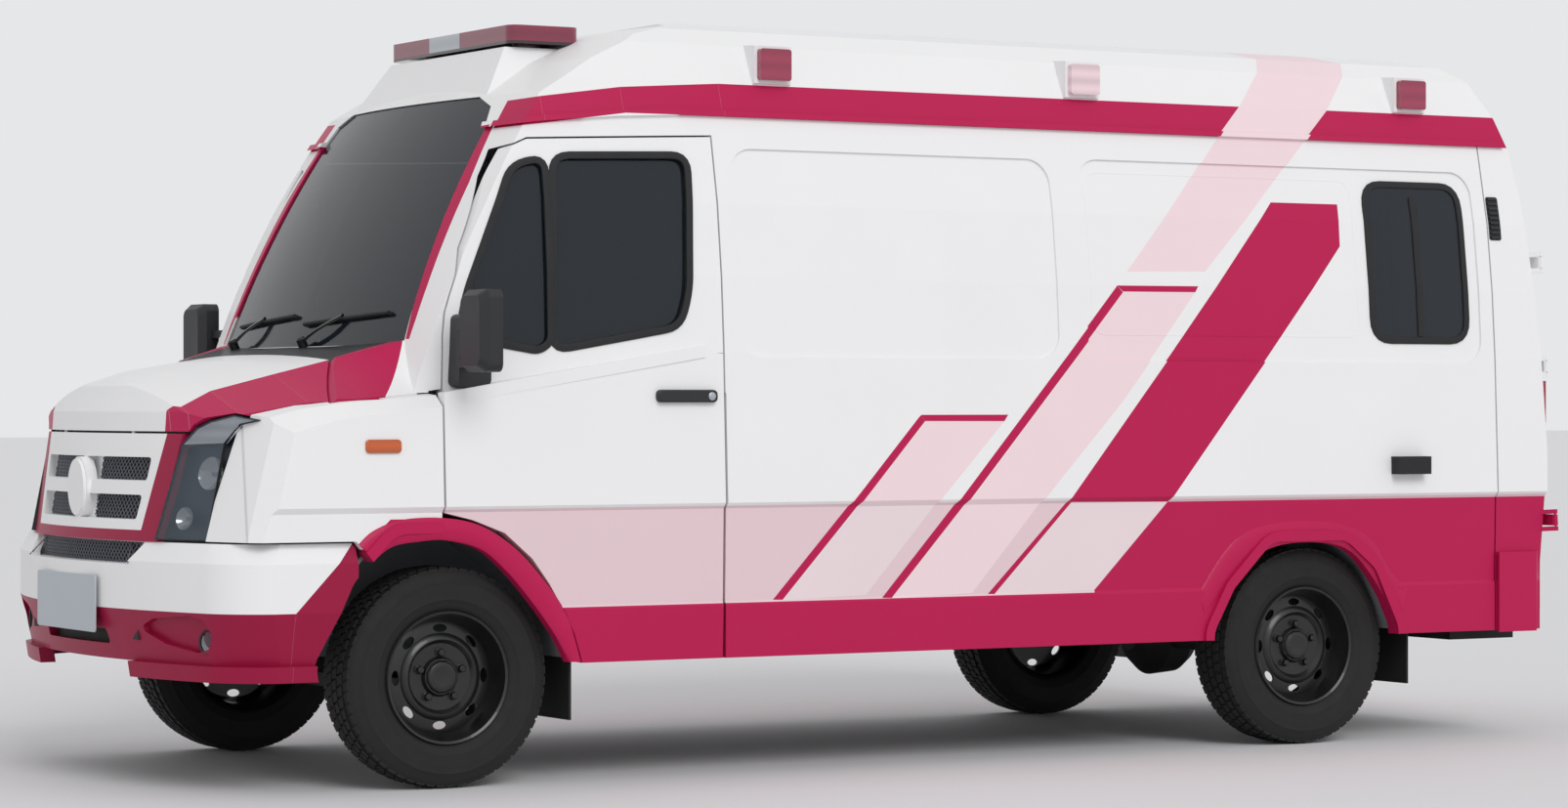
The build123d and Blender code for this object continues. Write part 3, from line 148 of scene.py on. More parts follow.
# rays that show the sky meet the backdrop's colour, and all others take the sky's light
rays = addNode(worldTree, "LightPath").outputs
shown = rays["Is Camera Ray"]
for kind in ("Is Transmission Ray", "Is Glossy Ray"):
    shown = addNode(worldTree, "Math", {"operation": "MAXIMUM"}, {0: shown, 1: rays[kind]}).outputs[0]
lightSky = addNode(worldTree, "Background", {"Color": (1, 1, 1, 1), "Strength": studio["skyStrength"]})
shownSky = addNode(worldTree, "Background", {"Color": linear(studio["backColour"]), "Strength": 1.0})
mixed = addNode(worldTree, "MixShader", {}, {0: shown, 1: lightSky.outputs[0], 2: shownSky.outputs[0]})
addNode(worldTree, "OutputWorld", {}, {"Surface": mixed.outputs[0]})

sunData = bpy.data.lights.new("softSun", "SUN")
sunData.energy = studio["sunStrength"]
sunData.angle = studio["sunAngle"]
sun = placed("softSun", sunData)
sun.rotation_euler = (-Vector(studio["sunFrom"])).to_track_quat("-Z", "Y").to_euler()

floorMesh = bpy.data.meshes.new("studioFloor")
half = studio["floorSide"] / 2
floorCorners = [(-half, -half, 0), (half, -half, 0), (half, half, 0), (-half, half, 0)]
floorMesh.from_pydata(floorCorners, [], [(0, 1, 2, 3)])
studioFloor = placed("studioFloor", floorMesh)
floorMesh.materials.append(newMaterial("studioFloorPaint", Base_Color=linear(studio["floorColour"]),
                                       Roughness=studio["floorRoughness"])[0])
print("studio set")

# painted livery

maskSharpness = 2000.0        # per metre, so that a mask's edge is half a millimetre soft


# the point's own place in metres, for masks: x from the front axle, |y| and z, and the planes that they make
def vehiclePlace(tree):
    coord = addNode(tree, "TexCoord")
    split = addNode(tree, "SeparateXYZ", {}, {0: coord.outputs["Object"]})
    x = addNode(tree, "Math", {"operation": "SUBTRACT", 1: frontAxle}, {0: split.outputs[0]})
    y = addNode(tree, "Math", {"operation": "ABSOLUTE"}, {0: split.outputs[1]})
    found = {"x": x.outputs[0], "y": y.outputs[0], "z": split.outputs[2]}
    found["at"] = {"Vector": coord.outputs["Object"]}
    across = addNode(tree, "CombineXYZ", {2: 1.0}, {0: split.outputs[1], 1: split.outputs[2]})
    found["across"] = across.outputs[0]      # y with its sign, and height
    for plane in ("xz", "yz", "xy"):
        flat = addNode(tree, "CombineXYZ", {2: 1.0}, {0: found[plane[0]], 1: found[plane[1]]})
        found[plane] = flat.outputs[0]
    return found


def combined(tree, operation, masks):
    whole = masks[0]
    for mask in masks[1:]:
        whole = addNode(tree, "Math", {"operation": operation}, {0: whole, 1: mask}).outputs[0]
    return whole


# 1 inside a convex outline given in millimetres, and 0 outside
def inside(tree, where, plane, outline):
    corners = [(a / 1000, b / 1000) for a, b in outline]
    middle = (sum(a for a, b in corners) / len(corners), sum(b for a, b in corners) / len(corners))
    depths = []
    for (a0, b0), (a1, b1) in zip(corners, corners[1:] + corners[:1]):
        normal = Vector((b0 - b1, a1 - a0)).normalized()
        offset = -(normal.x * a0 + normal.y * b0)
        if normal.x * middle[0] + normal.y * middle[1] + offset < 0:
            normal, offset = -normal, -offset
        depth = addNode(tree, "VectorMath", {"operation": "DOT_PRODUCT", 1: (normal.x, normal.y, offset)},
                        {0: where[plane]})
        depths.append(depth.outputs["Value"])
    soft = addNode(tree, "Math", {"operation": "MULTIPLY_ADD", 1: maskSharpness, 2: 0.5, "use_clamp": True},
                   {0: combined(tree, "MINIMUM", depths)})
    return soft.outputs[0]


# layers from rows of a colour and groups of convex outlines: a point is in a group when any of its outlines
# holds it, and takes the row's colour when it is in all of the row's groups
def livery(*rows):
    def masked(tree, where, groups):
        return combined(tree, "MULTIPLY", [combined(tree, "MAXIMUM", [inside(tree, where, plane, outline)
                                                                      for outline in outlines])
                                           for plane, *outlines in groups])

    return lambda tree, where: [(hexText, masked(tree, where, groups)) for hexText, *groups in rows]


# an upright rectangle, given by from and to on each axis of its plane
def block(plane, a0, a1, b0, b1):
    return plane, ((a0, b0), (a1, b0), (a1, b1), (a0, b1))


# colours laid over one another, each where its mask is 1
def layered(tree, base, layers):
    shade = addNode(tree, "RGB")
    shade.outputs[0].default_value = linear(base)
    colour = shade.outputs[0]
    for hexText, mask in layers:
        over = addNode(tree, "Mix", {"data_type": "RGBA", 7: linear(hexText)}, {0: mask, 6: colour})
        colour = over.outputs[2]
    return colour


paint = {
    "white": "#f1f1f2",
    "magenta": "#bb1450",
    "deepMagenta": "#9c103f",
    "lowerPink": "#e6cdd3",
    "softPink": "#ecdce0",
    "palePink": "#f3dce1",
    "wiperTray": "#1d1e21",
    "step": "#18191b",
    "filmScale": 3.0,         # slow drift of the colour along a panel
    "filmTint": (0.975, 1.01),
    "peelScale": 260.0,       # orange peel about 4 mm across, coarser than real so that it shows
    "peelDepth": 0.02,
}


# feeds the main shader: colour and roughness follow patterns over a range, and relief follows one more
def fill(tree, shader, colour, tint, gloss=None, relief=None):
    def spread(pattern, low, high):
        value = {"Value": pattern.outputs[0]}
        return addNode(tree, "MapRange", {"To Min": low, "To Max": high}, value).outputs[0]

    shade = addNode(tree, "VectorMath", {"operation": "SCALE"}, {0: colour, "Scale": spread(*tint)})
    tree.links.new(shade.outputs[0], shader.inputs["Base Color"])
    if gloss:
        tree.links.new(spread(*gloss), shader.inputs["Roughness"])
    if relief:
        pattern, strength, distance = relief
        height = {"Height": pattern.outputs[0]}
        bump = addNode(tree, "Bump", {"Strength": strength, "Distance": distance}, height)
        tree.links.new(bump.outputs[0], shader.inputs["Normal"])


# two-pack car paint: smooth colour under clear lacquer, with a faint orange peel
def carPaint(name, base, layersOf):
    made, tree, shader = newMaterial(name, Roughness=0.5, Coat_Weight=0.12, Coat_Roughness=0.08, Coat_IOR=1.4,
                                     Specular_IOR_Level=0.22)
    where = vehiclePlace(tree)
    film = addNode(tree, "TexNoise", {"Scale": paint["filmScale"], "Detail": 3.0}, where["at"])
    peel = addNode(tree, "TexNoise", {"Scale": paint["peelScale"], "Detail": 1.0}, where["at"])
    fill(tree, shader, layered(tree, base, layersOf(tree, where)), (film, *paint["filmTint"]), None,
         (peel, paint["peelDepth"], 0.001))
    return made


# outlines are millimetres ahead of the front axle or out from the middle, and height
white, magenta, deep = paint["white"], paint["magenta"], paint["deepMagenta"]
soft, pale = paint["softPink"], paint["palePink"]
far = -4500                   # behind the rear corner
# white body with pink areas, magenta skirt and lines, the roof's edge band and the screen pillars
bodyPaint = carPaint("bodyPaint", white, livery(
    (paint["lowerPink"], block("xz", 200, far, 555, 876)),
    (soft, ("xz", ((-1172, 566), (-1460, 877), (-1763, 877), (-1489, 574)))),
    (pale, ("xz", ((-1417, 877), (-1714, 1147), (-2029, 1146), (-1763, 877)))),
    (pale, ("xz", ((-1590, 562), (-1884, 877), (-2182, 877), (-1907, 571)),
            ((-1884, 877), (-2536, 1587), (-2841, 1591), (-2518, 1215), (-2182, 877)))),
    (soft, ("xz", ((-1996, 565), (-2304, 870), (-2704, 867), (-2402, 569)))),
    (magenta, block("xz", 400, far, 300, 561)),
    (magenta, ("xz", ((-2402, 300), (-2402, 569), (-2704, 867), (far, 867), (far, 300)))),
    (magenta, ("xz", ((-1135, 567), (-1172, 566), (-1714, 1147), (-1700, 1168), (-1690, 1160)),
               ((-1700, 1168), (-2045, 1168), (-2029, 1146), (-1714, 1147)),
               ((-1552, 563), (-1590, 562), (-2536, 1587), (-2513, 1610)),
               ((-2513, 1610), (-2855, 1612), (-2841, 1591), (-2536, 1589)),
               ((-1969, 566), (-1996, 565), (-2304, 870), (-2284, 871)),
               ((-2284, 871), (-3197, 1913), (-3491, 1913), (-3486, 1763), (-2704, 867)))),
    (magenta, ("xz", ((far, 2140), (far, 2252), (-1005, 2250), (-1005, 2140)),
               ((-1005, 2140), (-1005, 2250), (-644, 2226), (-644, 2140)),
               ((-644, 2140), (-644, 2226), (-363, 2187), (-363, 2100)),
               ((-363, 2100), (-363, 2187), (-121, 2145), (-121, 2070))),
     ("yz", ((695, 2060), (1000, 2060), (1000, 2262), (660, 2262)))),
    (magenta, ("yz", ((737, 1409), (605, 2096), (681, 2101), (723, 1911), (749, 1586), (755, 1475),
                      (756, 1409))),
     ("xz", ((200, 1380), (200, 2160), (-310, 2160), (-290, 2110), (30, 1400)))),
    (pale, ("xz", ((-3441, 2600), (-3814, 2600), (-3500, 2251), (-3118, 2256)),
            ((-3118, 2256), (-3500, 2251), (-3398, 2161), (-3016, 2161)),
            ((-3016, 2161), (-3398, 2161), (-2888, 1663), (-2557, 1658))))))
# the same lacquer in one colour
magentaPaint = carPaint("magentaPaint", magenta, livery())
plainWhite = carPaint("plainWhite", white, livery())
wear(bodyPaint, "roof", "cab_frame", "body_side_left", "body_side_right", "rear_frame", "rear_door_left",
     "rear_door_right", "cab_door_left", "cab_door_right")
wear(plainWhite, "beacon_housings")
# white wings with a magenta flare over the wheel
wear(carPaint("wingPaint", white, livery(
    (magenta, ("xz", ((575, 285), (410, 675), (232, 848), (-145, 848), (-390, 665), (-450, 285)))))),
    "fender_left", "fender_right")
# white bonnet between magenta edges
bonnetEdge = ((1000, 500), (777, 500), (752, 550), (654, 550), (462, 600), (227, 650), (0, 700))
bonnetStrips = [(a, b, (b[0], 1000), (a[0], 1000)) for a, b in zip(bonnetEdge, bonnetEdge[1:])]
wear(carPaint("bonnetPaint", white, livery((magenta, ("xy", *bonnetStrips)))), "bonnet")
# magenta cowl with a black wiper tray and white feet on the wings
wear(carPaint("cowlPaint", magenta, livery(
    (white, ("xy", ((66, 717), (215, 893), (215, 1000), (-200, 1000), (-200, 717)))),
    (paint["wiperTray"], ("xy", ((-200, -1), (400, -1), (400, 640), (-200, 665)))))), "cowl")
# white bumper with a deep magenta lower half
wear(carPaint("bumperPaint", white, livery(
    (deep, ("xz", ((1000, 300), (1000, 565), (548, 565), (548, 300)),
            ((548, 300), (548, 565), (348, 774), (200, 774), (200, 300)))))), "front_bumper")
# deep magenta rim round a white grille
wear(carPaint("grillePaint", deep, livery(
    (white, ("yz", ((-1, 811), (449, 811), (514, 1118), (-1, 1118)))))), "grille")
# magenta rear bumper over a black step
wear(carPaint("rearBumperPaint", magenta, livery((paint["step"], block("xz", -3000, -5000, 300, 378)))),
     "rear_bumper")
print("livery painted")

# finishes: each one is a real material, and its patterns are sized in millimetres


# colour that drifts in patches, roughness that drifts with it, and a fine grain raised by a bump
def graded(name, colour, patchMm, grainMm, depthMm, rough, drift=0.12, **sockets):
    made, tree, shader = newMaterial(name, **sockets)
    at = vehiclePlace(tree)["at"]
    patch = addNode(tree, "TexNoise", {"Scale": 1000 / patchMm, "Detail": 4.0}, at)
    grain = addNode(tree, "TexNoise", {"Scale": 1000 / grainMm, "Detail": 2.0}, at)
    fill(tree, shader, layered(tree, colour, []), (patch, 1 - drift, 1 + drift), (patch, *rough),
         (grain, 0.5, depthMm / 1000))
    return made


lens = {
    "waveTurns": 20,          # the wave texture's own factor: its scale times this is radians per metre
    # painted highlights and painted shade along the ribs: the lens colour is scaled between these
    "ribPaintedLight": (0.86, 1.08),
    "hazeScale": 30.0,
    "gloss": (0.12, 0.24),
    "ribHigh": 0.0006,
}


# a lamp lens: moulded acrylic with level ribs, raised by a bump, and with painted highlights and painted
# shade in light and dark lines along them; masks change its colour.
# radianMm is one radian of the ribs' wave, so they lie about six times that apart
def lampAcrylic(name, colour, radianMm, layersOf):
    made, tree, shader = newMaterial(name, Coat_Weight=0.8, Coat_Roughness=0.04)
    where = vehiclePlace(tree)
    ribs = addNode(tree, "TexWave", {"Scale": 1000 / radianMm / lens["waveTurns"], "Distortion": 0.0,
                                     "bands_direction": "Z"}, where["at"])
    haze = addNode(tree, "TexNoise", {"Scale": lens["hazeScale"]}, where["at"])
    fill(tree, shader, layered(tree, colour, layersOf(tree, where)), (ribs, *lens["ribPaintedLight"]),
         (haze, *lens["gloss"]), (ribs, 0.4, lens["ribHigh"]))
    return made


sheet = {"smearScale": 6.0, "gloss": (0.03, 0.12), "tint": (0.92, 1.08)}


# smooth sheet glass and acrylic: faint smears in the shine, and see-through by a fixed amount
def clearSheet(name, colour, alpha):
    made, tree, shader = newMaterial(name, Alpha=alpha, IOR=1.5)
    smear = addNode(tree, "TexNoise", {"Scale": sheet["smearScale"], "Detail": 4.0}, vehiclePlace(tree)["at"])
    fill(tree, shader, layered(tree, colour, []), (smear, *sheet["tint"]), (smear, *sheet["gloss"]))
    return made


# tinted toughened glass: dark, with the cab dimly seen through it
tintedGlass = clearSheet("tintedGlass", "#1b222a", 0.8)
# clear acrylic cover in front of the lamp bowls: a thin grey veil, sharp in its reflections
smokedCover = clearSheet("smokedCover", "#5c6873", 0.28)
# grained ABS: near black with a leather-like grain that breaks up the shine
grainedPlastic = graded("grainedPlastic", "#1e1f23", 180, 3.0, 0.35, (0.42, 0.58))
# extruded EPDM rubber: dull and slightly dusty
sealRubber = graded("sealRubber", "#17181a", 60, 4.0, 0.25, (0.62, 0.8), 0.2)
# tyre compound: dull black, browner where it has picked up dust
tyreCompound = graded("tyreCompound", "#151514", 45, 3.0, 0.3, (0.68, 0.88), 0.3)
# black stoved enamel on pressed steel: a soft, slightly uneven shine
blackEnamel = graded("blackEnamel", "#0d0d0e", 90, 5.0, 0.15, (0.3, 0.46), 0.2, Coat_Weight=0.25)
# chassis black over rolled steel: dull, with road dust in patches
wear(graded("chassisBlack", "#1b1a19", 120, 8.0, 0.6, (0.55, 0.8), 0.35),
     "chassis", "leaf_springs", "front_axle", "rear_axle")
# sand-cast iron: grey and rough to the light
wear(graded("castIron", "#4a4a4b", 70, 3.5, 0.8, (0.5, 0.7), 0.25, Metallic=0.7),
     "engine", "knuckle_left", "knuckle_right", "propeller_shaft")
# galvanised tank: grey metal with broad spangles
wear(graded("galvanised", "#7c7f82", 35, 12.0, 0.1, (0.38, 0.55), 0.2, Metallic=0.85), "fuel_tank")
# studded vinyl floor covering: mid grey with a raised grain that hides scuffs
wear(graded("floorVinyl", "#74787c", 160, 9.0, 0.8, (0.55, 0.75), 0.14), "floor")
# melamine-faced lining board: pale, almost smooth
wear(graded("liningBoard", "#c6c8c8", 260, 2.0, 0.08, (0.35, 0.5), 0.06), "partition", "door_posts")
# vinyl-coated seat cloth: dark grey with a tight grain
seatVinyl = graded("seatVinyl", "#3c4046", 90, 2.2, 0.5, (0.5, 0.66), 0.14, Sheen_Weight=0.15)
# moulded bench shell: grey-blue plastic with a faint grain
wear(graded("benchShell", "#6d7680", 140, 2.5, 0.2, (0.38, 0.5), 0.08), "bench")
# chromed reflector bowl: a mirror, hazed a little
chromedBowl = graded("chromedBowl", "#c9ccd0", 40, 6.0, 0.05, (0.08, 0.18), 0.05, Metallic=1.0)
# metallised lamp housing: dark grey with a soft sheen behind the bowls
smokedHousing = graded("smokedHousing", "#39424c", 90, 4.0, 0.02, (0.25, 0.4), 0.1, Metallic=0.5)
# satin aluminium: pale metal with a brushed haze
satinAluminium = graded("satinAluminium", "#b4b9bf", 50, 1.5, 0.06, (0.28, 0.42), 0.06, Metallic=0.8)
# bare number plate blank: painted sheet, flat and even
plateBlank = graded("plateBlank", "#b5bcc4", 150, 3.0, 0.05, (0.32, 0.42), 0.04)
# drawn wire of the grille: dark grey, with lighter patches as painted highlights for the shine where it bends
# over its neighbour
grilleWire = graded("grilleWire", "#62656d", 20, 2.0, 0.1, (0.35, 0.5), 0.2, Metallic=0.4)
# moulded tail lamp lens: deep red with a pale band, ribbed, so that it sparkles in lines from the bump and
# from painted highlights and painted shade
wear(lampAcrylic("tailLens", "#a4182f", 9, livery(("#d3cfd2", block("xz", -3000, -5000, 993, 1136)))),
     "tail_lamps")
# side beacon lens: wine red, and pale on the middle beacon
wear(lampAcrylic("beaconLens", "#9a284b", 8, livery(("#ecd1d8", block("xz", -2300, -2570, 2200, 2500)))),
     "beacons")
# roof bar lens: wine red with a pale middle and a dark joint line
wear(lampAcrylic("barLens", "#84203f", 11, livery(("#b4b9c1", block("across", -150, 85, 2300, 2500)),
                                                  ("#2a1219", block("across", -600, 600, 2380, 2396)))),
     "lightbar")
# headlamp's strip lens: pale and finely ribbed
indicatorStrip = lampAcrylic("indicatorStrip", "#e4e6ee", 6, livery())
# amber repeater lens: orange, the brightest spot on the wing
indicatorLens = lampAcrylic("indicatorLens", "#c2540e", 7, livery())

wear(tintedGlass, "windscreen", "side_windows", "cab_door_left_glass", "cab_door_right_glass",
     "rear_door_left_glass", "rear_door_right_glass")
wear(grainedPlastic, "mirror_left", "mirror_right", "dashboard", "steering_wheel", "steering_column")
wear(sealRubber, "door_stops", "mud_flaps")

# moulded pieces have round edges, which the frame's plain solids leave to this script
roundEdgeMm = {"mirror_left": 9, "mirror_right": 9, "lightbar": 15, "beacons": 7, "tail_lamps": 5,
               "steering_wheel": 3, "bench": 10}
for nodeName, edgeMm in roundEdgeMm.items():
    roundEdges(nodes[nodeName], edgeMm, 4)
print("finishes made")

# shapes: each maker returns corners and faces, and a piece may join several


# a section written in millimetres
def inMetres(*pairs):
    return tuple((a / 1000, r / 1000) for a, r in pairs)


probe = {"side": 1.7, "end": 4.0}             # how far out a probing line starts, in metres


# the faces of CAD nodes, for lines to meet
def skinOf(*names):
    points, polygons = [], []
    for name in names:
        mesh = nodes[name].data
        first = len(points)
        points.extend(v.co.copy() for v in mesh.vertices)
        polygons.extend([first + i for i in p.vertices] for p in mesh.polygons)
    return BVHTree.FromPolygons(points, polygons)


# the first place that a straight line meets, with the face's direction turned back towards its start
def met(skin, start, direction):
    place, normal = skin.ray_cast(Vector(start), Vector(direction))[:2]
    if place is None:
        return None
    return place, (-normal if normal.dot(Vector(direction)) > 0 else normal)


# the outer skin met from a side at x and z, or from an end at y and z, in millimetres
def onSide(skin, x, z, side):
    return met(skin, (ahead(x), side * probe["side"], z / 1000), (0, -side, 0))


def onEnd(skin, y, z, way):
    return met(skin, (way * probe["end"], y / 1000, z / 1000), (-way, 0, 0))


# corners turned into short arcs, in the outline's own plane
def rounded(corners, radius, steps=5):
    made = []
    for i, corner in enumerate(corners):
        corner = Vector(corner)
        before, after = Vector(corners[i - 1]), Vector(corners[(i + 1) % len(corners)])
        reach = min(radius, (before - corner).length * 0.45, (after - corner).length * 0.45)
        start = corner + (before - corner).normalized() * reach
        end = corner + (after - corner).normalized() * reach
        for step in range(steps + 1):
            t = step / steps
            made.append(start * (1 - t) ** 2 + corner * 2 * t * (1 - t) + end * t ** 2)
    return made


# places along a run of straight lines, at most a step apart
def spaced(points, step, closed=True):
    made = []
    ends = points[1:] + points[:1] if closed else points[1:]
    for a, b in zip(points, ends):
        count = max(1, math.ceil((Vector(b) - Vector(a)).length / step))
        made.extend(Vector(a).lerp(Vector(b), i / count) for i in range(count))
    if not closed:
        made.append(Vector(points[-1]))
    return made


# faces between copies of a section: joined round when closed, or else with both ends capped
def sweptFaces(count, size, closed=True, sectionClosed=True):
    faces = []
    for i in range(count if closed else count - 1):
        j = (i + 1) % count
        for k in range(size if sectionClosed else size - 1):
            m = (k + 1) % size
            faces.append((i * size + k, i * size + m, j * size + m, j * size + k))
    if not closed:
        faces += [tuple(range(size)), tuple((count - 1) * size + k for k in reversed(range(size)))]
    return faces


# shares of a bead's width and height
beadSection = ((-0.5, -0.3), (-0.44, 0.75), (0, 1), (0.44, 0.75), (0.5, -0.3))


# a bead laid along a path of (place, direction away from the surface)
def bead(path, width, height, closed=True):
    points, count = [], len(path)
    for i, (place, away) in enumerate(path):
        after = path[(i + 1) % count][0] if closed or i + 1 < count else place
        before = path[i - 1][0] if closed or i else place
        across = (after - before).normalized().cross(away).normalized()
        points.extend(place + across * u * width + away * v * height for u, v in beadSection)
    return points, sweptFaces(count, len(beadSection), closed)


# a flat outline in space given depth along a direction
def slab(front, depth):
    depth, count = Vector(depth), len(front)
    points = [Vector(p) for p in front] + [Vector(p) + depth for p in front]
    faces = [tuple(range(count)), tuple(reversed(range(count, 2 * count)))]
    faces += [(i, i + count, (i + 1) % count + count, (i + 1) % count) for i in range(count)]
    return points, faces


# a section of (distance along the axis, radius) turned about the axis
def lathe(section, centre, axis, segments=48, sectionClosed=True):
    axis = Vector(axis).normalized()
    first = axis.orthogonal().normalized()
    second = axis.cross(first)
    points = []
    for i in range(segments):
        angle = 2 * math.pi * i / segments
        out = first * math.cos(angle) + second * math.sin(angle)
        points.extend(Vector(centre) + axis * a + out * r for a, r in section)
    return points, sweptFaces(segments, len(section), True, sectionClosed)


def rod(a, b, radius, count=4):
    length = (b - a).length
    return lathe(((0, 0), (0, radius), (length, radius), (length, 0)), a, (b - a).normalized(), count, False)


def joined(shapes):
    points, faces = [], []
    for morePoints, moreFaces in shapes:
        first = len(points)
        points.extend(morePoints)
        faces.extend(tuple(first + i for i in face) for face in moreFaces)
    return points, faces


making = {"mergeMm": 0.02, "bevelSegments": 3, "sharpDegrees": 38}


# a mesh from corners and faces, with its faces turned outwards
def meshOf(name, shape):
    mesh = bpy.data.meshes.new(name)
    mesh.from_pydata([tuple(p) for p in shape[0]], [], shape[1])
    work = bmesh.new()
    work.from_mesh(mesh)
    bmesh.ops.remove_doubles(work, verts=work.verts, dist=making["mergeMm"] / 1000)
    bmesh.ops.recalc_face_normals(work, faces=work.faces)
    work.to_mesh(mesh)
    work.free()
    return mesh


def piece(name, shape, material, body, bevelMm=0.0, smooth=True):
    made = placed(name, meshOf(name, shape))
    made.data.materials.append(material)
    if bevelMm:
        roundEdges(made, bevelMm, making["bevelSegments"])
    if smooth:
        made.data.shade_smooth()
        made.data.set_sharp_from_angle(angle=math.radians(making["sharpDegrees"]))
    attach(made, body)
    return made


# turns a piece's modifiers into its own mesh
def settle(made):
    bpy.context.view_layer.update()
    shaped = bpy.data.meshes.new_from_object(made.evaluated_get(bpy.context.evaluated_depsgraph_get()))
    made.modifiers.clear()
    made.data = shaped
    return shaped


# takes a shape out of a piece
def cutBy(made, shape):
    cutter = placed("cutter", meshOf("cutter", shape))
    cut = made.modifiers.new("cut", "BOOLEAN")
    cut.operation = "DIFFERENCE"
    cut.solver = "EXACT"
    cut.object = cutter
    settle(made)
    bpy.data.objects.remove(cutter)


# wheels

wheel = {
    "centreHigh": 0.348,
    "outFromMiddle": 0.8025,
    "segments": 96,
    "ventCount": 8,
    "ventRadius": 0.153,
    "ventSize": (0.024, 0.013),    # half sizes, round the wheel and towards its centre
    "ventCorners": 20,
    "ventCut": (0.005, 0.05),      # where the cut starts, out from the middle plane, and its depth
    "nutCount": 5,
    "nutRadius": 0.076,
    "treadRows": (-0.074, -0.037, 0.0, 0.037, 0.074),
    "treadWidth": 0.029,
    "treadSteps": 60,
    "treadShare": 0.78,            # how much of a step its block fills
    "treadSlant": 0.22,            # how far a block leans over its width, as a share of a step
    "treadSink": 0.003,
    "shoulderFrom": 0.06,
    "shoulderDrop": 0.004,
    "carcass": 0.3405,
    "treadTop": 0.3478,
}
# sections: distance out from the wheel's middle plane, and radius
rimSection = inMetres((92, 212.5), (98, 208), (94, 200), (70, 193), (52, 186), (30, 178), (34, 168),
                      (36, 138), (47, 126), (49, 117), (36, 105), (34, 64), (46, 56), (50, 24.5),
                      (28, 24.5), (26, 64), (28, 108), (26, 168), (12, 176), (0, 186), (-78, 189),
                      (-92, 200), (-96, 208), (-90, 212.5), (-70, 199), (70, 199))
tyreHalf = inMetres((78, 200), (90, 214), (97, 228), (102.5, 242), (104.5, 244.5), (104, 250), (106.5, 270),
                    (107, 284), (105.5, 297), (106.5, 300), (103, 306), (99, 318), (94, 331), (86, 340.5))
nutSection = inMetres((33, 16), (37, 16), (38, 13.5), (52, 12.5), (55, 9), (55, 0), (33, 0))
capSection = inMetres((42, 54), (50, 53), (57, 47), (59.5, 36), (58.5, 30), (58.5, 0), (51, 0), (51, 30),
                      (42, 46))
blockFaces = [(0, 1, 3, 2), (4, 6, 7, 5), (0, 4, 5, 1), (2, 3, 7, 6), (0, 2, 6, 4), (1, 5, 7, 3)]


def treadBlocks(centre, side):
    shapes = []
    step = 2 * math.pi / wheel["treadSteps"]
    wide = wheel["treadWidth"] / 2
    for row, middle in enumerate(wheel["treadRows"]):
        drop = wheel["shoulderDrop"] if abs(middle) > wheel["shoulderFrom"] else 0
        for i in range(wheel["treadSteps"]):
            start = i * step + (row % 2) * step / 2
            corners = []
            for radius in (wheel["carcass"] - wheel["treadSink"], wheel["treadTop"] - drop):
                for y, lag in ((middle - wide, 0.0), (middle + wide, wheel["treadSlant"])):
                    for part in (0.0, wheel["treadShare"]):
                        angle = start + (part + lag) * step
                        x, z = radius * math.cos(angle), radius * math.sin(angle)
                        corners.append(centre + Vector((x, side * y, z)))
            shapes.append((corners, blockFaces))
    return shapes


# directions round the wheel, the first of them straight up
def spokes(count):
    angles = [math.pi / 2 + 2 * math.pi * i / count for i in range(count)]
    return [Vector((math.cos(angle), 0, math.sin(angle))) for angle in angles]


def ventCutters(centre, out):
    start, deep = wheel["ventCut"]
    long, short = wheel["ventSize"]
    turns = [math.tau * k / wheel["ventCorners"] for k in range(wheel["ventCorners"])]
    shapes = []
    for radial in spokes(wheel["ventCount"]):
        tangent = Vector((-radial.z, 0, radial.x))
        oval = [centre + out * start + radial * (wheel["ventRadius"] + short * math.cos(a))
                + tangent * long * math.sin(a) for a in turns]
        shapes.append(slab(oval, out * deep))
    return joined(shapes)


for place, x in (("front", frontAxle), ("rear", rearAxle)):
    for sideName, side in sides:
        label = place + "_" + sideName
        body = "wheel_" + label
        centre = Vector((x, side * wheel["outFromMiddle"], wheel["centreHigh"]))
        out = Vector((0, side, 0))
        section = tyreHalf + tuple((-a, r) for a, r in reversed(tyreHalf))
        carcass = lathe(section, centre, out, wheel["segments"])
        shape = joined([carcass] + treadBlocks(centre, side))
        tyre = piece("tyre_carcass_" + label, shape, tyreCompound, body)
        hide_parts("tyre_" + label)
        disc = lathe(rimSection, centre, out, wheel["segments"])
        rim = piece("wheel_disc_" + label, disc, blackEnamel, body)
        cutBy(rim, ventCutters(centre, out))
        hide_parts("rim_" + label)
        nuts = [lathe(nutSection, centre + spoke * wheel["nutRadius"], out, 6)
                for spoke in spokes(wheel["nutCount"])]
        nuts.append(lathe(capSection, centre, out, 12))
        piece("wheel_nuts_" + label, joined(nuts), blackEnamel, body, 0.8)
print("wheels made")

# windows: the rubber that holds each pane

window = {
    # outlines: millimetres ahead of the front axle, or from the middle at the back, and height
    "quarterGlass": ((-354, 1990), (-240, 1962), (-70, 1551), (-44, 1416), (-302, 1372), (-344, 1400)),
    "mainGlass": ((-380, 1996), (-856, 2009), (-830, 1561), (-794, 1452), (-346, 1372)),
    "sideGlass": ((-3613, 1430), (-4041, 1430), (-4041, 1990), (-3613, 1990)),
    "rearGlass": ((140, 1430), (740, 1430), (715, 1960), (140, 1960)),
    "cabCorner": 60,
    "backCorner": 80,
    "stepMm": 45,
    "rubber": (0.026, 0.007),      # width and height
    "slideAt": -3830,
    "slideHeights": (1445, 1981, 50),
    "slide": (0.03, 0.006),
    "pushMm": 16,                  # how far outside a pane its rubber looks for the panel that it lies on
}


# places round an outline, each with the place beyond it where the panel is looked for
def aroundPane(outline, radius):
    path = spaced(rounded(outline, radius), window["stepMm"])
    middle = sum(path, Vector((0, 0))) / len(path)
    return [(p, p + (p - middle).normalized() * window["pushMm"]) for p in path]


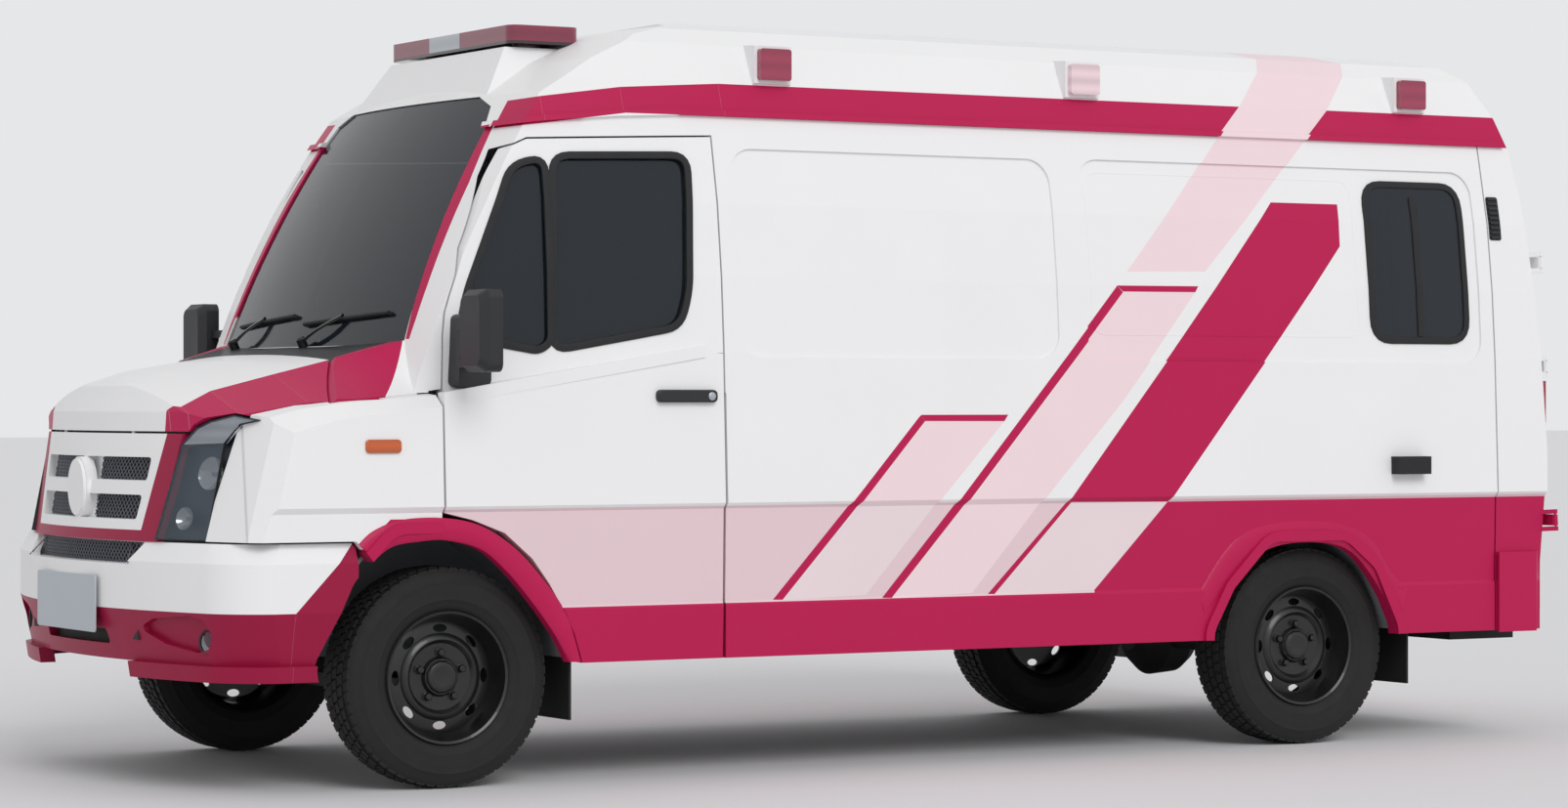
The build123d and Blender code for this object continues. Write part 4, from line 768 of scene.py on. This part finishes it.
def sideBead(skin, outline, radius, side, size):
    laid = []
    for p, beyond in aroundPane(outline, radius):
        found = onSide(skin, beyond.x, beyond.y, side)
        if found:
            place, away = found
            lean = away.z / max(abs(away.y), 0.5) * (beyond.y - p.y) / 1000
            laid.append((Vector((ahead(p.x), place.y + side * lean, p.y / 1000)), away))
    return bead(laid, *size)


def rearBead(skin, outline, radius, side, size):
    laid = []
    for p, beyond in aroundPane(outline, radius):
        place, away = onEnd(skin, side * beyond.x, beyond.y, -1)
        laid.append((Vector((place.x, side * p.x / 1000, p.y / 1000)), away))
    return bead(laid, *size)


for sideName, side in sides:
    door = "cab_door_" + sideName
    frames = [sideBead(skinOf(door), window[pane], window["cabCorner"], side, window["rubber"])
              for pane in ("quarterGlass", "mainGlass")]
    piece("window_rubber_" + sideName, joined(frames), sealRubber, door)
    bodySkin = skinOf("body_side_" + sideName, "side_windows", "rear_frame")
    pane = sideBead(bodySkin, window["sideGlass"], window["backCorner"], side, window["rubber"])
    slide = [onSide(bodySkin, window["slideAt"], z, side) for z in range(*window["slideHeights"])]
    bar = bead([f for f in slide if f], *window["slide"], False)
    piece("side_window_rubber_" + sideName, joined([pane, bar]), sealRubber, "body")
    door = "rear_door_" + sideName
    pane = rearBead(skinOf(door), window["rearGlass"], window["backCorner"], side, window["rubber"])
    piece("rear_window_rubber_" + sideName, pane, sealRubber, door)
print("window rubbers made")

# cab door handle, side indicator, cabin vent and bonded panel edge

fittings = {
    # x from and to, z from and to, and corner radius in millimetres; depth below and height above the skin
    "handle": ((-697, -916, 1209, 1250), 18, 0.004, 0.02),
    "cup": ((-745, -845, 1196, 1238), 18, 0.004, 0.0015),
    "indicator": ((201, 321, 1053, 1095), 14, 0.004, 0.009),
    "vent": ((-4166, -4220, 1798, 1956), 10, 0.003, 0.003),
    "patchStep": 30,
    "lock": (-893, 1229),
    "lockOut": 0.019,
    "slats": 9,
    "slatOver": 6,            # how far a slat passes the vent's ends
    "slatLift": 0.003,
    "slat": (0.009, 0.005),
    "panel": ((-2403, 1441), (-3550, 1441), (-3550, 1998), (-2403, 1998)),
    "panelCorner": 60,
    "panelEdge": (0.005, 0.0012),
}
lockSection = inMetres((-4, 0), (-4, 13), (3, 13), (4, 11), (4, 0))


def sidePatch(skin, side, bounds, radius, sink, proud):
    x0, x1, z0, z1 = bounds
    outline = spaced(rounded(((x0, z0), (x1, z0), (x1, z1), (x0, z1)), radius), fittings["patchStep"])
    found = [onSide(skin, p.x, p.y, side) for p in outline]
    return slab([f[0] + Vector((0, side * proud, 0)) for f in found if f], (0, -side * (sink + proud), 0))


def ventSlats(skin, side):
    x0, x1, z0, z1 = fittings["vent"][0]
    over, lift = fittings["slatOver"], fittings["slatLift"]
    slats = []
    for i in range(fittings["slats"]):
        z = z0 + (i + 0.5) * (z1 - z0) / fittings["slats"]
        found = [onSide(skin, x, z, side) for x in (x0 - over, (x0 + x1) / 2, x1 + over)]
        slats.append(bead([(f[0] + f[1] * lift, f[1]) for f in found if f], *fittings["slat"], False))
    return joined(slats)


for sideName, side in sides:
    door = "cab_door_" + sideName
    doorSkin = skinOf(door)
    cup = sidePatch(doorSkin, side, *fittings["cup"])
    piece("handle_cup_" + sideName, cup, plainWhite, door, 0.5)
    handle = sidePatch(doorSkin, side, *fittings["handle"])
    piece("door_handle_" + sideName, handle, grainedPlastic, door, 5)
    spot = onSide(doorSkin, *fittings["lock"], side)[0] + Vector((0, side * fittings["lockOut"], 0))
    lock = lathe(lockSection, spot, (0, side, 0), 24)
    piece("door_lock_" + sideName, lock, satinAluminium, door)
    indicator = sidePatch(skinOf("fender_" + sideName), side, *fittings["indicator"])
    piece("side_indicator_" + sideName, indicator, indicatorLens, "body", 3)
    bodySkin = skinOf("body_side_" + sideName, "rear_frame", "side_windows")
    vent = sidePatch(bodySkin, side, *fittings["vent"])
    piece("cabin_vent_" + sideName, vent, sealRubber, "body", 0.6)
    piece("vent_slats_" + sideName, ventSlats(bodySkin, side), grainedPlastic, "body")
    edge = sideBead(bodySkin, fittings["panel"], fittings["panelCorner"], side, fittings["panelEdge"])
    piece("bonded_panel_edge_" + sideName, edge, bodyPaint, "body")
print("side fittings made")

# wheel arch lips: one smooth moulding round each arch, over the panels that meet there

archLip = {
    # outer and inner edge: millimetres ahead of that arch's axle, and height
    "front": (((345, 779), (298, 819), (202, 854), (53, 858), (-75, 833), (-197, 763), (-297, 665),
               (-382, 552), (-437, 388)),
              ((286, 722), (224, 764), (135, 778), (45, 781), (-75, 752), (-167, 681), (-251, 590),
               (-328, 492), (-390, 388))),
    "rear": (((508, 553), (375, 716), (214, 782), (-52, 787), (-230, 731), (-330, 612), (-402, 544)),
             ((482, 441), (345, 611), (214, 695), (47, 717), (-130, 692), (-250, 589), (-358, 428))),
    "proud": 0.004,
    "crown": 0.004,
    "deep": 0.04,
    "outerDrop": 0.004,
    "innerDrop": 0.005,
    "doorGap": 0.1,           # share of the band left open towards the door
    "steps": 5,
    "pushMm": 14,             # how far outside the lip it looks for the panel
    "firstOut": 0.968,        # |y| of the skin where none is met at the start
    "leastOut": 0.93,         # anything further in is not the skin
}


# a smooth curve through every corner
def smoothRun(corners, steps):
    points = [Vector(c) for c in corners]
    made = []
    for i in range(len(points) - 1):
        p0, p1, p2, p3 = points[max(i - 1, 0)], points[i], points[i + 1], points[min(i + 2, len(points) - 1)]
        for k in range(steps):
            u = k / steps
            made.append(0.5 * (2 * p1 + (p2 - p0) * u + (2 * p0 - 5 * p1 + 4 * p2 - p3) * u ** 2
                               + (3 * p1 - p0 - 3 * p2 + p3) * u ** 3))
    return made + [points[-1]]


def archMoulding(skin, axle, edges, side, gap):
    points, lastOut = [], archLip["firstOut"]
    pairs = list(zip(*[smoothRun(edge, archLip["steps"]) for edge in edges]))
    for outer, inner in pairs:
        beyond = outer + (outer - inner).normalized() * archLip["pushMm"]
        found = met(skin, (axle + beyond.x / 1000, side * probe["side"], beyond.y / 1000), (0, -side, 0))
        if found and abs(found[0].y) > archLip["leastOut"]:
            lastOut = abs(found[0].y)
        edge = outer.lerp(inner, gap)
        front = lastOut + archLip["proud"]
        back = lastOut - archLip["deep"]
        section = ((0, back), (0, front - archLip["outerDrop"]), (0.06, front),
                   (0.5, front + archLip["crown"]), (0.9, front), (1, front - archLip["innerDrop"]),
                   (1, back))
        for share, depth in section:
            spot = edge.lerp(inner, share)
            points.append(Vector((axle + spot.x / 1000, side * depth, spot.y / 1000)))
    return points, sweptFaces(len(pairs), len(section), False)


for sideName, side in sides:
    skin = skinOf("fender_" + sideName, "cab_door_" + sideName, "front_bumper")
    lip = archMoulding(skin, frontAxle, archLip["front"], side, archLip["doorGap"])
    piece("arch_lip_front_" + sideName, lip, magentaPaint, "body")
    lip = archMoulding(skinOf("body_side_" + sideName), rearAxle, archLip["rear"], side, 0.0)
    piece("arch_lip_rear_" + sideName, lip, magentaPaint, "body")
print("arch lips made")

# woven wire in the grille and the bumper's notch, with a black sheet behind it as painted shade in the
# openings

wireWork = {
    # low, high, inner and outer edge of each opening, in millimetres
    "openings": ((965, 1038, 84, 438), (843, 920, 84, 406)),
    "notch": (708, 772, 0, 440),
    # the notch's black sheet: painted shade behind its wire
    "notchShadeSheet": (708, 772, 0, 426),
    "pitchMm": 22,
    "radius": 0.002,
    "proud": 0.004,
    "leastShare": 0.6,        # of a pitch: shorter wires are left out
    "wireInset": 2,
    "sheetInset": 1,
    "sheetFaces": (0.0012, 0.0003),
    "sheetSteps": 9,
    "lookShare": 0.9,         # how far towards its edges an opening's panel is looked for
}


def wires(skin, low, high, inner, outer, side):
    shapes = []
    tall = high - low
    for lean in (1, -1):
        start = inner - tall
        while start < outer:
            ya, yb = (start, start + tall) if lean > 0 else (start + tall, start)
            left, right = max(start, inner), min(start + tall, outer)
            if right - left > wireWork["pitchMm"] * wireWork["leastShare"]:
                ends = [onEnd(skin, side * y, low + tall * (y - ya) / (yb - ya), 1) for y in (left, right)]
                if all(ends):
                    a, b = [place + Vector((wireWork["proud"], 0, 0)) for place, away in ends]
                    shapes.append(rod(a, b, wireWork["radius"]))
            start += wireWork["pitchMm"]
    return shapes


# a thin black sheet just in front of the panel that closes an opening from behind: painted shade in the
# opening behind the wire
def shadeSheet(skin, low, high, inner, outer, side):
    points, faces, count = [], [], wireWork["sheetSteps"]
    middle = (low + high) / 2
    for lift in wireWork["sheetFaces"]:
        for z in (low, high):
            for k in range(count):
                y = inner + (outer - inner) * k / (count - 1)
                spot = onEnd(skin, side * y, middle + (z - middle) * wireWork["lookShare"], 1)[0]
                points.append(Vector((spot.x + lift, side * y / 1000, z / 1000)))
    for k in range(count - 1):
        faces += [(k, k + 1, count + k + 1, count + k),
                  tuple(2 * count + i for i in (k, count + k, count + k + 1, k + 1)),
                  (k, 2 * count + k, 2 * count + k + 1, k + 1),
                  (count + k, count + k + 1, 3 * count + k + 1, 3 * count + k)]
    for k in (0, count - 1):
        faces.append((k, count + k, 3 * count + k, 2 * count + k))
    return points, faces


grilleSkin = skinOf("grille")
shapes, sheets = [], []
for low, high, inner, outer in wireWork["openings"]:
    for sideName, side in sides:
        inset = wireWork["wireInset"]
        shapes += wires(grilleSkin, low + inset, high - inset, inner, outer, side)
        inset = wireWork["sheetInset"]
        sheets.append(shadeSheet(grilleSkin, low + inset, high - inset, inner, outer, side))
piece("grille_mesh", joined(shapes), grilleWire, "body")
# painted shade: black sheets behind the grille's wire
piece("grille_shade_sheet", joined(sheets), sealRubber, "body", 0, False)
bumperSkin = skinOf("front_bumper")
shapes, sheets = [], []
for sideName, side in sides:
    shapes += wires(bumperSkin, *wireWork["notch"], side)
    sheets.append(shadeSheet(bumperSkin, *wireWork["notchShadeSheet"], side))
piece("bumper_mesh", joined(shapes), grilleWire, "body")
# painted shade: black sheets behind the notch's wire
piece("bumper_mesh_shade_sheet", joined(sheets), sealRubber, "body", 0, False)
print("wire mesh made")

# headlamps: a dark housing, two bowls, a ribbed strip and a smoked cover, in place of the plain solid

headlamp = {
    # corners on the cover's plane: millimetres ahead of the front axle, out from the middle, and height
    "corners": ((842, 548, 782), (753, 751, 781), (693, 752, 1086), (661, 800, 1145), (628, 869, 1157),
                (668, 771, 1172), (710, 685, 1154), (735, 636, 1133), (767, 587, 1080)),
    "normal": (0.902, 0.395, 0.173),
    "shrink": 0.985,
    # how far behind that plane a layer starts, and its thickness
    "cover": (0.001, 0.004),
    "housing": (0.042, 0.02),
    "strip": (0.0065, 0.012),
    "stripFrom": 1079,
    "lipBack": 0.008,
    "lipStep": 0.03,
    "lip": (0.012, 0.004),
    "bowls": ((728, 714, 992, 0.052), (786, 643, 853, 0.036)),      # place, and radius in metres
    "bowlBack": 0.04,
    "bowlDeep": 0.026,
    "bowlFoot": 0.002,
    "bowlWall": 0.0015,
}
bulbSection = inMetres((2, 0), (2, 7), (20, 7), (25, 4), (26, 0))


def layer(outline, away, back, thick):
    return slab([p - away * back for p in outline], -away * thick)


def lampBowls(outline, away, side):
    shapes = []
    for x, y, z, radius in headlamp["bowls"]:
        spot = Vector((ahead(x), side * y / 1000, z / 1000))
        spot -= away * ((spot - outline[0]).dot(away) + headlamp["bowlBack"])
        deep, foot = headlamp["bowlDeep"], headlamp["bowlFoot"]
        shell = [(deep * (k / 8) ** 2 + foot, radius * k / 8) for k in range(9)]
        shell += [(a - headlamp["bowlWall"], r) for a, r in reversed(shell)]
        shapes += [lathe(shell, spot, away, 40), lathe(bulbSection, spot, away, 20)]
    return joined(shapes)


covers = []
for sideName, side in sides:
    away = Vector((headlamp["normal"][0], side * headlamp["normal"][1], headlamp["normal"][2])).normalized()
    outline = [Vector((ahead(x), side * y / 1000, z / 1000)) for x, y, z in headlamp["corners"]]
    middle = sum(outline, Vector()) / len(outline)
    smaller = [middle + (p - middle) * headlamp["shrink"] for p in outline]
    covers.append(layer(smaller, away, *headlamp["cover"]))
    housing = layer(smaller, away, *headlamp["housing"])
    piece("headlamp_housing_" + sideName, housing, smokedHousing, "body", 1)
    path = [(p - away * headlamp["lipBack"], (middle - p).normalized())
            for p in spaced(smaller, headlamp["lipStep"])]
    piece("headlamp_lip_" + sideName, bead(path, *headlamp["lip"]), sealRubber, "body")
    piece("headlamp_bowls_" + sideName, lampBowls(outline, away, side), chromedBowl, "body")
    high = [p for p, corner in zip(smaller, headlamp["corners"]) if corner[2] >= headlamp["stripFrom"]]
    strip = layer(high, away, *headlamp["strip"])
    piece("headlamp_indicator_" + sideName, strip, indicatorStrip, "body", 1)
cover = piece("headlamp_covers", joined(covers), smokedCover, "body", 1)
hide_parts("headlamps")

# dark sheet behind the bumper's slot and scoops: painted shade in the openings

slotShade = {"across": (-520, 521, 40), "lookHigh": 530, "behind": 0.05, "high": 0.482, "size": (0.11, 0.004)}
path = []
for y in range(*slotShade["across"]):
    x = onEnd(bumperSkin, y, slotShade["lookHigh"], 1)[0].x - slotShade["behind"]
    path.append((Vector((x, y / 1000, slotShade["high"])), Vector((1, 0, 0))))
piece("slot_shade_sheet", bead(path, *slotShade["size"], False), sealRubber, "body")

# fog lamps in the bumper's scoops

fogLamp = {"across": 781, "high": 474, "radius": 34, "facing": (0.93, 0.36)}
r = fogLamp["radius"]
fogBezel = inMetres((-12, r + 6), (9, r + 6), (12, r + 2), (10, r - 2), (-12, r - 2))
fogBowl = inMetres((-11, 0), (-9, 12), (4, r - 2), (1, r - 1), (-13, 12), (-14, 0))
fogGlass = inMetres((6, r - 2), (9, r * 0.7), (10.5, 0), (8, 0), (6, r * 0.7), (3, r - 2))
for sideName, side in sides:
    spot = onEnd(bumperSkin, side * fogLamp["across"], fogLamp["high"], 1)[0]
    facing = Vector((fogLamp["facing"][0], side * fogLamp["facing"][1], 0)).normalized()
    for part, section, finish, slotName in (("bezel", fogBezel, grainedPlastic, "black_plastic"),
                                            ("bowl", fogBowl, chromedBowl, "lamp_lens"),
                                            ("glass", fogGlass, smokedCover, "lamp_lens")):
        piece("fog_lamp_" + part + "_" + sideName, lathe(section, spot, facing, 40), finish, "body")

# bare number plate

plate = {"halfWide": 0.26, "low": 0.485, "high": 0.665, "corner": 0.012, "lift": 0.004, "thick": 0.005}
wide, low, high = plate["halfWide"], plate["low"], plate["high"]
spots = [onEnd(bumperSkin, y * 1000, z * 1000, 1) for y in (-wide, 0, wide) for z in (low, high)]
reach = max(spot[0].x for spot in spots if spot) + plate["lift"]
outline = rounded(((-wide, low), (wide, low), (wide, high), (-wide, high)), plate["corner"])
piece("front_plate", slab([(reach, p.x, p.y) for p in outline], (-plate["thick"], 0, 0)), plateBlank, "body",
      1)

# wipers: arms on the tray, blades on the glass

wiper = {
    "blades": ((-560, -40), (60, 600)),
    "low": 1462,
    "rise": 30,
    "steps": 14,
    "bladeLift": 0.006,
    "blade": (0.012, 0.012),
    "root": (60, -70),        # from the blade's start to the arm's root, across and up
    "armSteps": 6,
    "armLift": 0.012,
    "arm": (0.016, 0.008),
    "armUp": (0.5, 0, 0.86),
    "pivotUp": (0.4, 0, 0.9),
}
pivotSection = inMetres((-20, 0), (-20, 16), (14, 16), (20, 11), (20, 0))
screenSkin = skinOf("windscreen", "cowl", "cab_frame")
blades, arms = [], []
for start, end in wiper["blades"]:
    steps, lift = wiper["steps"], wiper["armLift"]
    line = [onEnd(screenSkin, start + (end - start) * k / steps, wiper["low"] + wiper["rise"] * k / steps, 1)
            for k in range(steps + 1)]
    line = [f for f in line if f]
    blades.append(bead([(p + n * wiper["bladeLift"], n) for p, n in line], *wiper["blade"], False))
    root = onEnd(screenSkin, start + wiper["root"][0], wiper["low"] + wiper["root"][1], 1)[0]
    middle = line[len(line) // 2][0]
    shares = [k / wiper["armSteps"] for k in range(wiper["armSteps"] + 1)]
    path = [root.lerp(middle, t) + Vector((lift + lift * math.sin(math.pi * t), 0, lift)) for t in shares]
    arms.append(bead([(p, Vector(wiper["armUp"])) for p in path], *wiper["arm"], False))
    arms.append(lathe(pivotSection, path[0], wiper["pivotUp"], 24))
piece("wiper_blades", joined(blades), sealRubber, "body")
piece("wiper_arms", joined(arms), blackEnamel, "body")
print("lamps, plate and wipers made")

# back of the vehicle: door handles and step treads

rearHandle = {"fromMiddle": 70, "heights": (1150, 1301, 30), "lift": 0.018, "grip": (0.022, 0.012),
              "postLong": 0.02, "postRadius": 0.008}
for sideName, side in sides:
    door = "rear_door_" + sideName
    doorSkin = skinOf(door)
    path = [onEnd(doorSkin, side * rearHandle["fromMiddle"], z, -1) for z in range(*rearHandle["heights"])]
    grip = bead([(p + n * rearHandle["lift"], n) for p, n in path], *rearHandle["grip"], False)
    posts = [rod(p, p + n * rearHandle["postLong"], rearHandle["postRadius"], 12)
             for p, n in (path[0], path[-1])]
    piece("rear_handle_" + sideName, joined([grip] + posts), grainedPlastic, door)

tread = {"count": 9, "fromEdge": 0.03, "pitch": 0.014, "ends": (-0.7, 0.7), "above": 1.0,
         "bead": (0.006, 0.003)}
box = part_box("rear_bumper")
stepSkin = skinOf("rear_bumper")
treads = []
for i in range(tread["count"]):
    x = box[0][0] + tread["fromEdge"] + i * tread["pitch"]
    found = [met(stepSkin, (x, y, tread["above"]), (0, 0, -1)) for y in tread["ends"]]
    if all(found):
        treads.append(bead(found, *tread["bead"], False))
piece("step_treads", joined(treads), sealRubber, "body")
print("back fittings made")

# seats: each CAD pad becomes a crowned, seamed cushion

seatWork = {
    "voxelMm": 11,
    "rounding": 16,
    "crownMm": 9,
    "channelMm": 92,
    "channelDeepMm": 4,
    "channelSharp": 14,
    "endFace": 0.6,           # faces turned further sideways than this have no channels
    "mostMm": 8.0,
}


# a CAD node's separate solids, in order of place
def padsOf(nodeName):
    source = bmesh.new()
    source.from_mesh(nodes[nodeName].data)
    bmesh.ops.remove_doubles(source, verts=source.verts, dist=0.00001)
    left, groups = set(source.verts), []
    while left:
        grown, front = set(), [min(left, key=lambda v: v.index)]
        while front:
            v = front.pop()
            if v not in grown:
                grown.add(v)
                front.extend(e.other_vert(v) for e in v.link_edges)
        left -= grown
        faces = [f for f in source.faces if f.verts[0] in grown]
        order = {v: i for i, v in enumerate(sorted(grown, key=lambda v: v.index))}
        groups.append(([v.co.copy() for v in order], [tuple(order[v] for v in f.verts) for f in faces]))
    source.free()

    def middle(group):
        return tuple(round(sum(p[i] for p in group[0]) / len(group[0]), 4) for i in range(3))

    return sorted(groups, key=middle)


for index, (points, faces) in enumerate(padsOf("seats")):
    low = Vector([min(p[i] for p in points) for i in range(3)])
    high = Vector([max(p[i] for p in points) for i in range(3)])
    size = high - low
    pad = piece("seat_pad_%d" % index, (points, faces), seatVinyl, "body")
    grid = pad.modifiers.new("grid", "REMESH")
    grid.mode = "VOXEL"
    grid.voxel_size = seatWork["voxelMm"] / 1000
    pad.modifiers.new("soften", "SMOOTH").iterations = seatWork["rounding"]
    shaped = settle(pad)
    thin = min(range(3), key=lambda i: size[i])
    wide = [i for i in range(3) if i != thin]
    normals = [v.normal.copy() for v in shaped.vertices]
    for v, normal in zip(shaped.vertices, normals):
        u = [2 * (v.co[i] - low[i]) / size[i] - 1 for i in wide]
        swell = max(0.0, 1 - u[0] ** 2) * max(0.0, 1 - u[1] ** 2) * seatWork["crownMm"]
        lane = (v.co[1] - (low[1] + high[1]) / 2) / (seatWork["channelMm"] / 1000)
        seam = math.exp(-((lane - round(lane)) * seatWork["channelSharp"]) ** 2) * seatWork["channelDeepMm"]
        seam *= abs(normal[1]) < seatWork["endFace"]
        v.co += normal * min(swell - seam, seatWork["mostMm"]) / 1000
    shaped.shade_smooth()
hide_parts("seats")
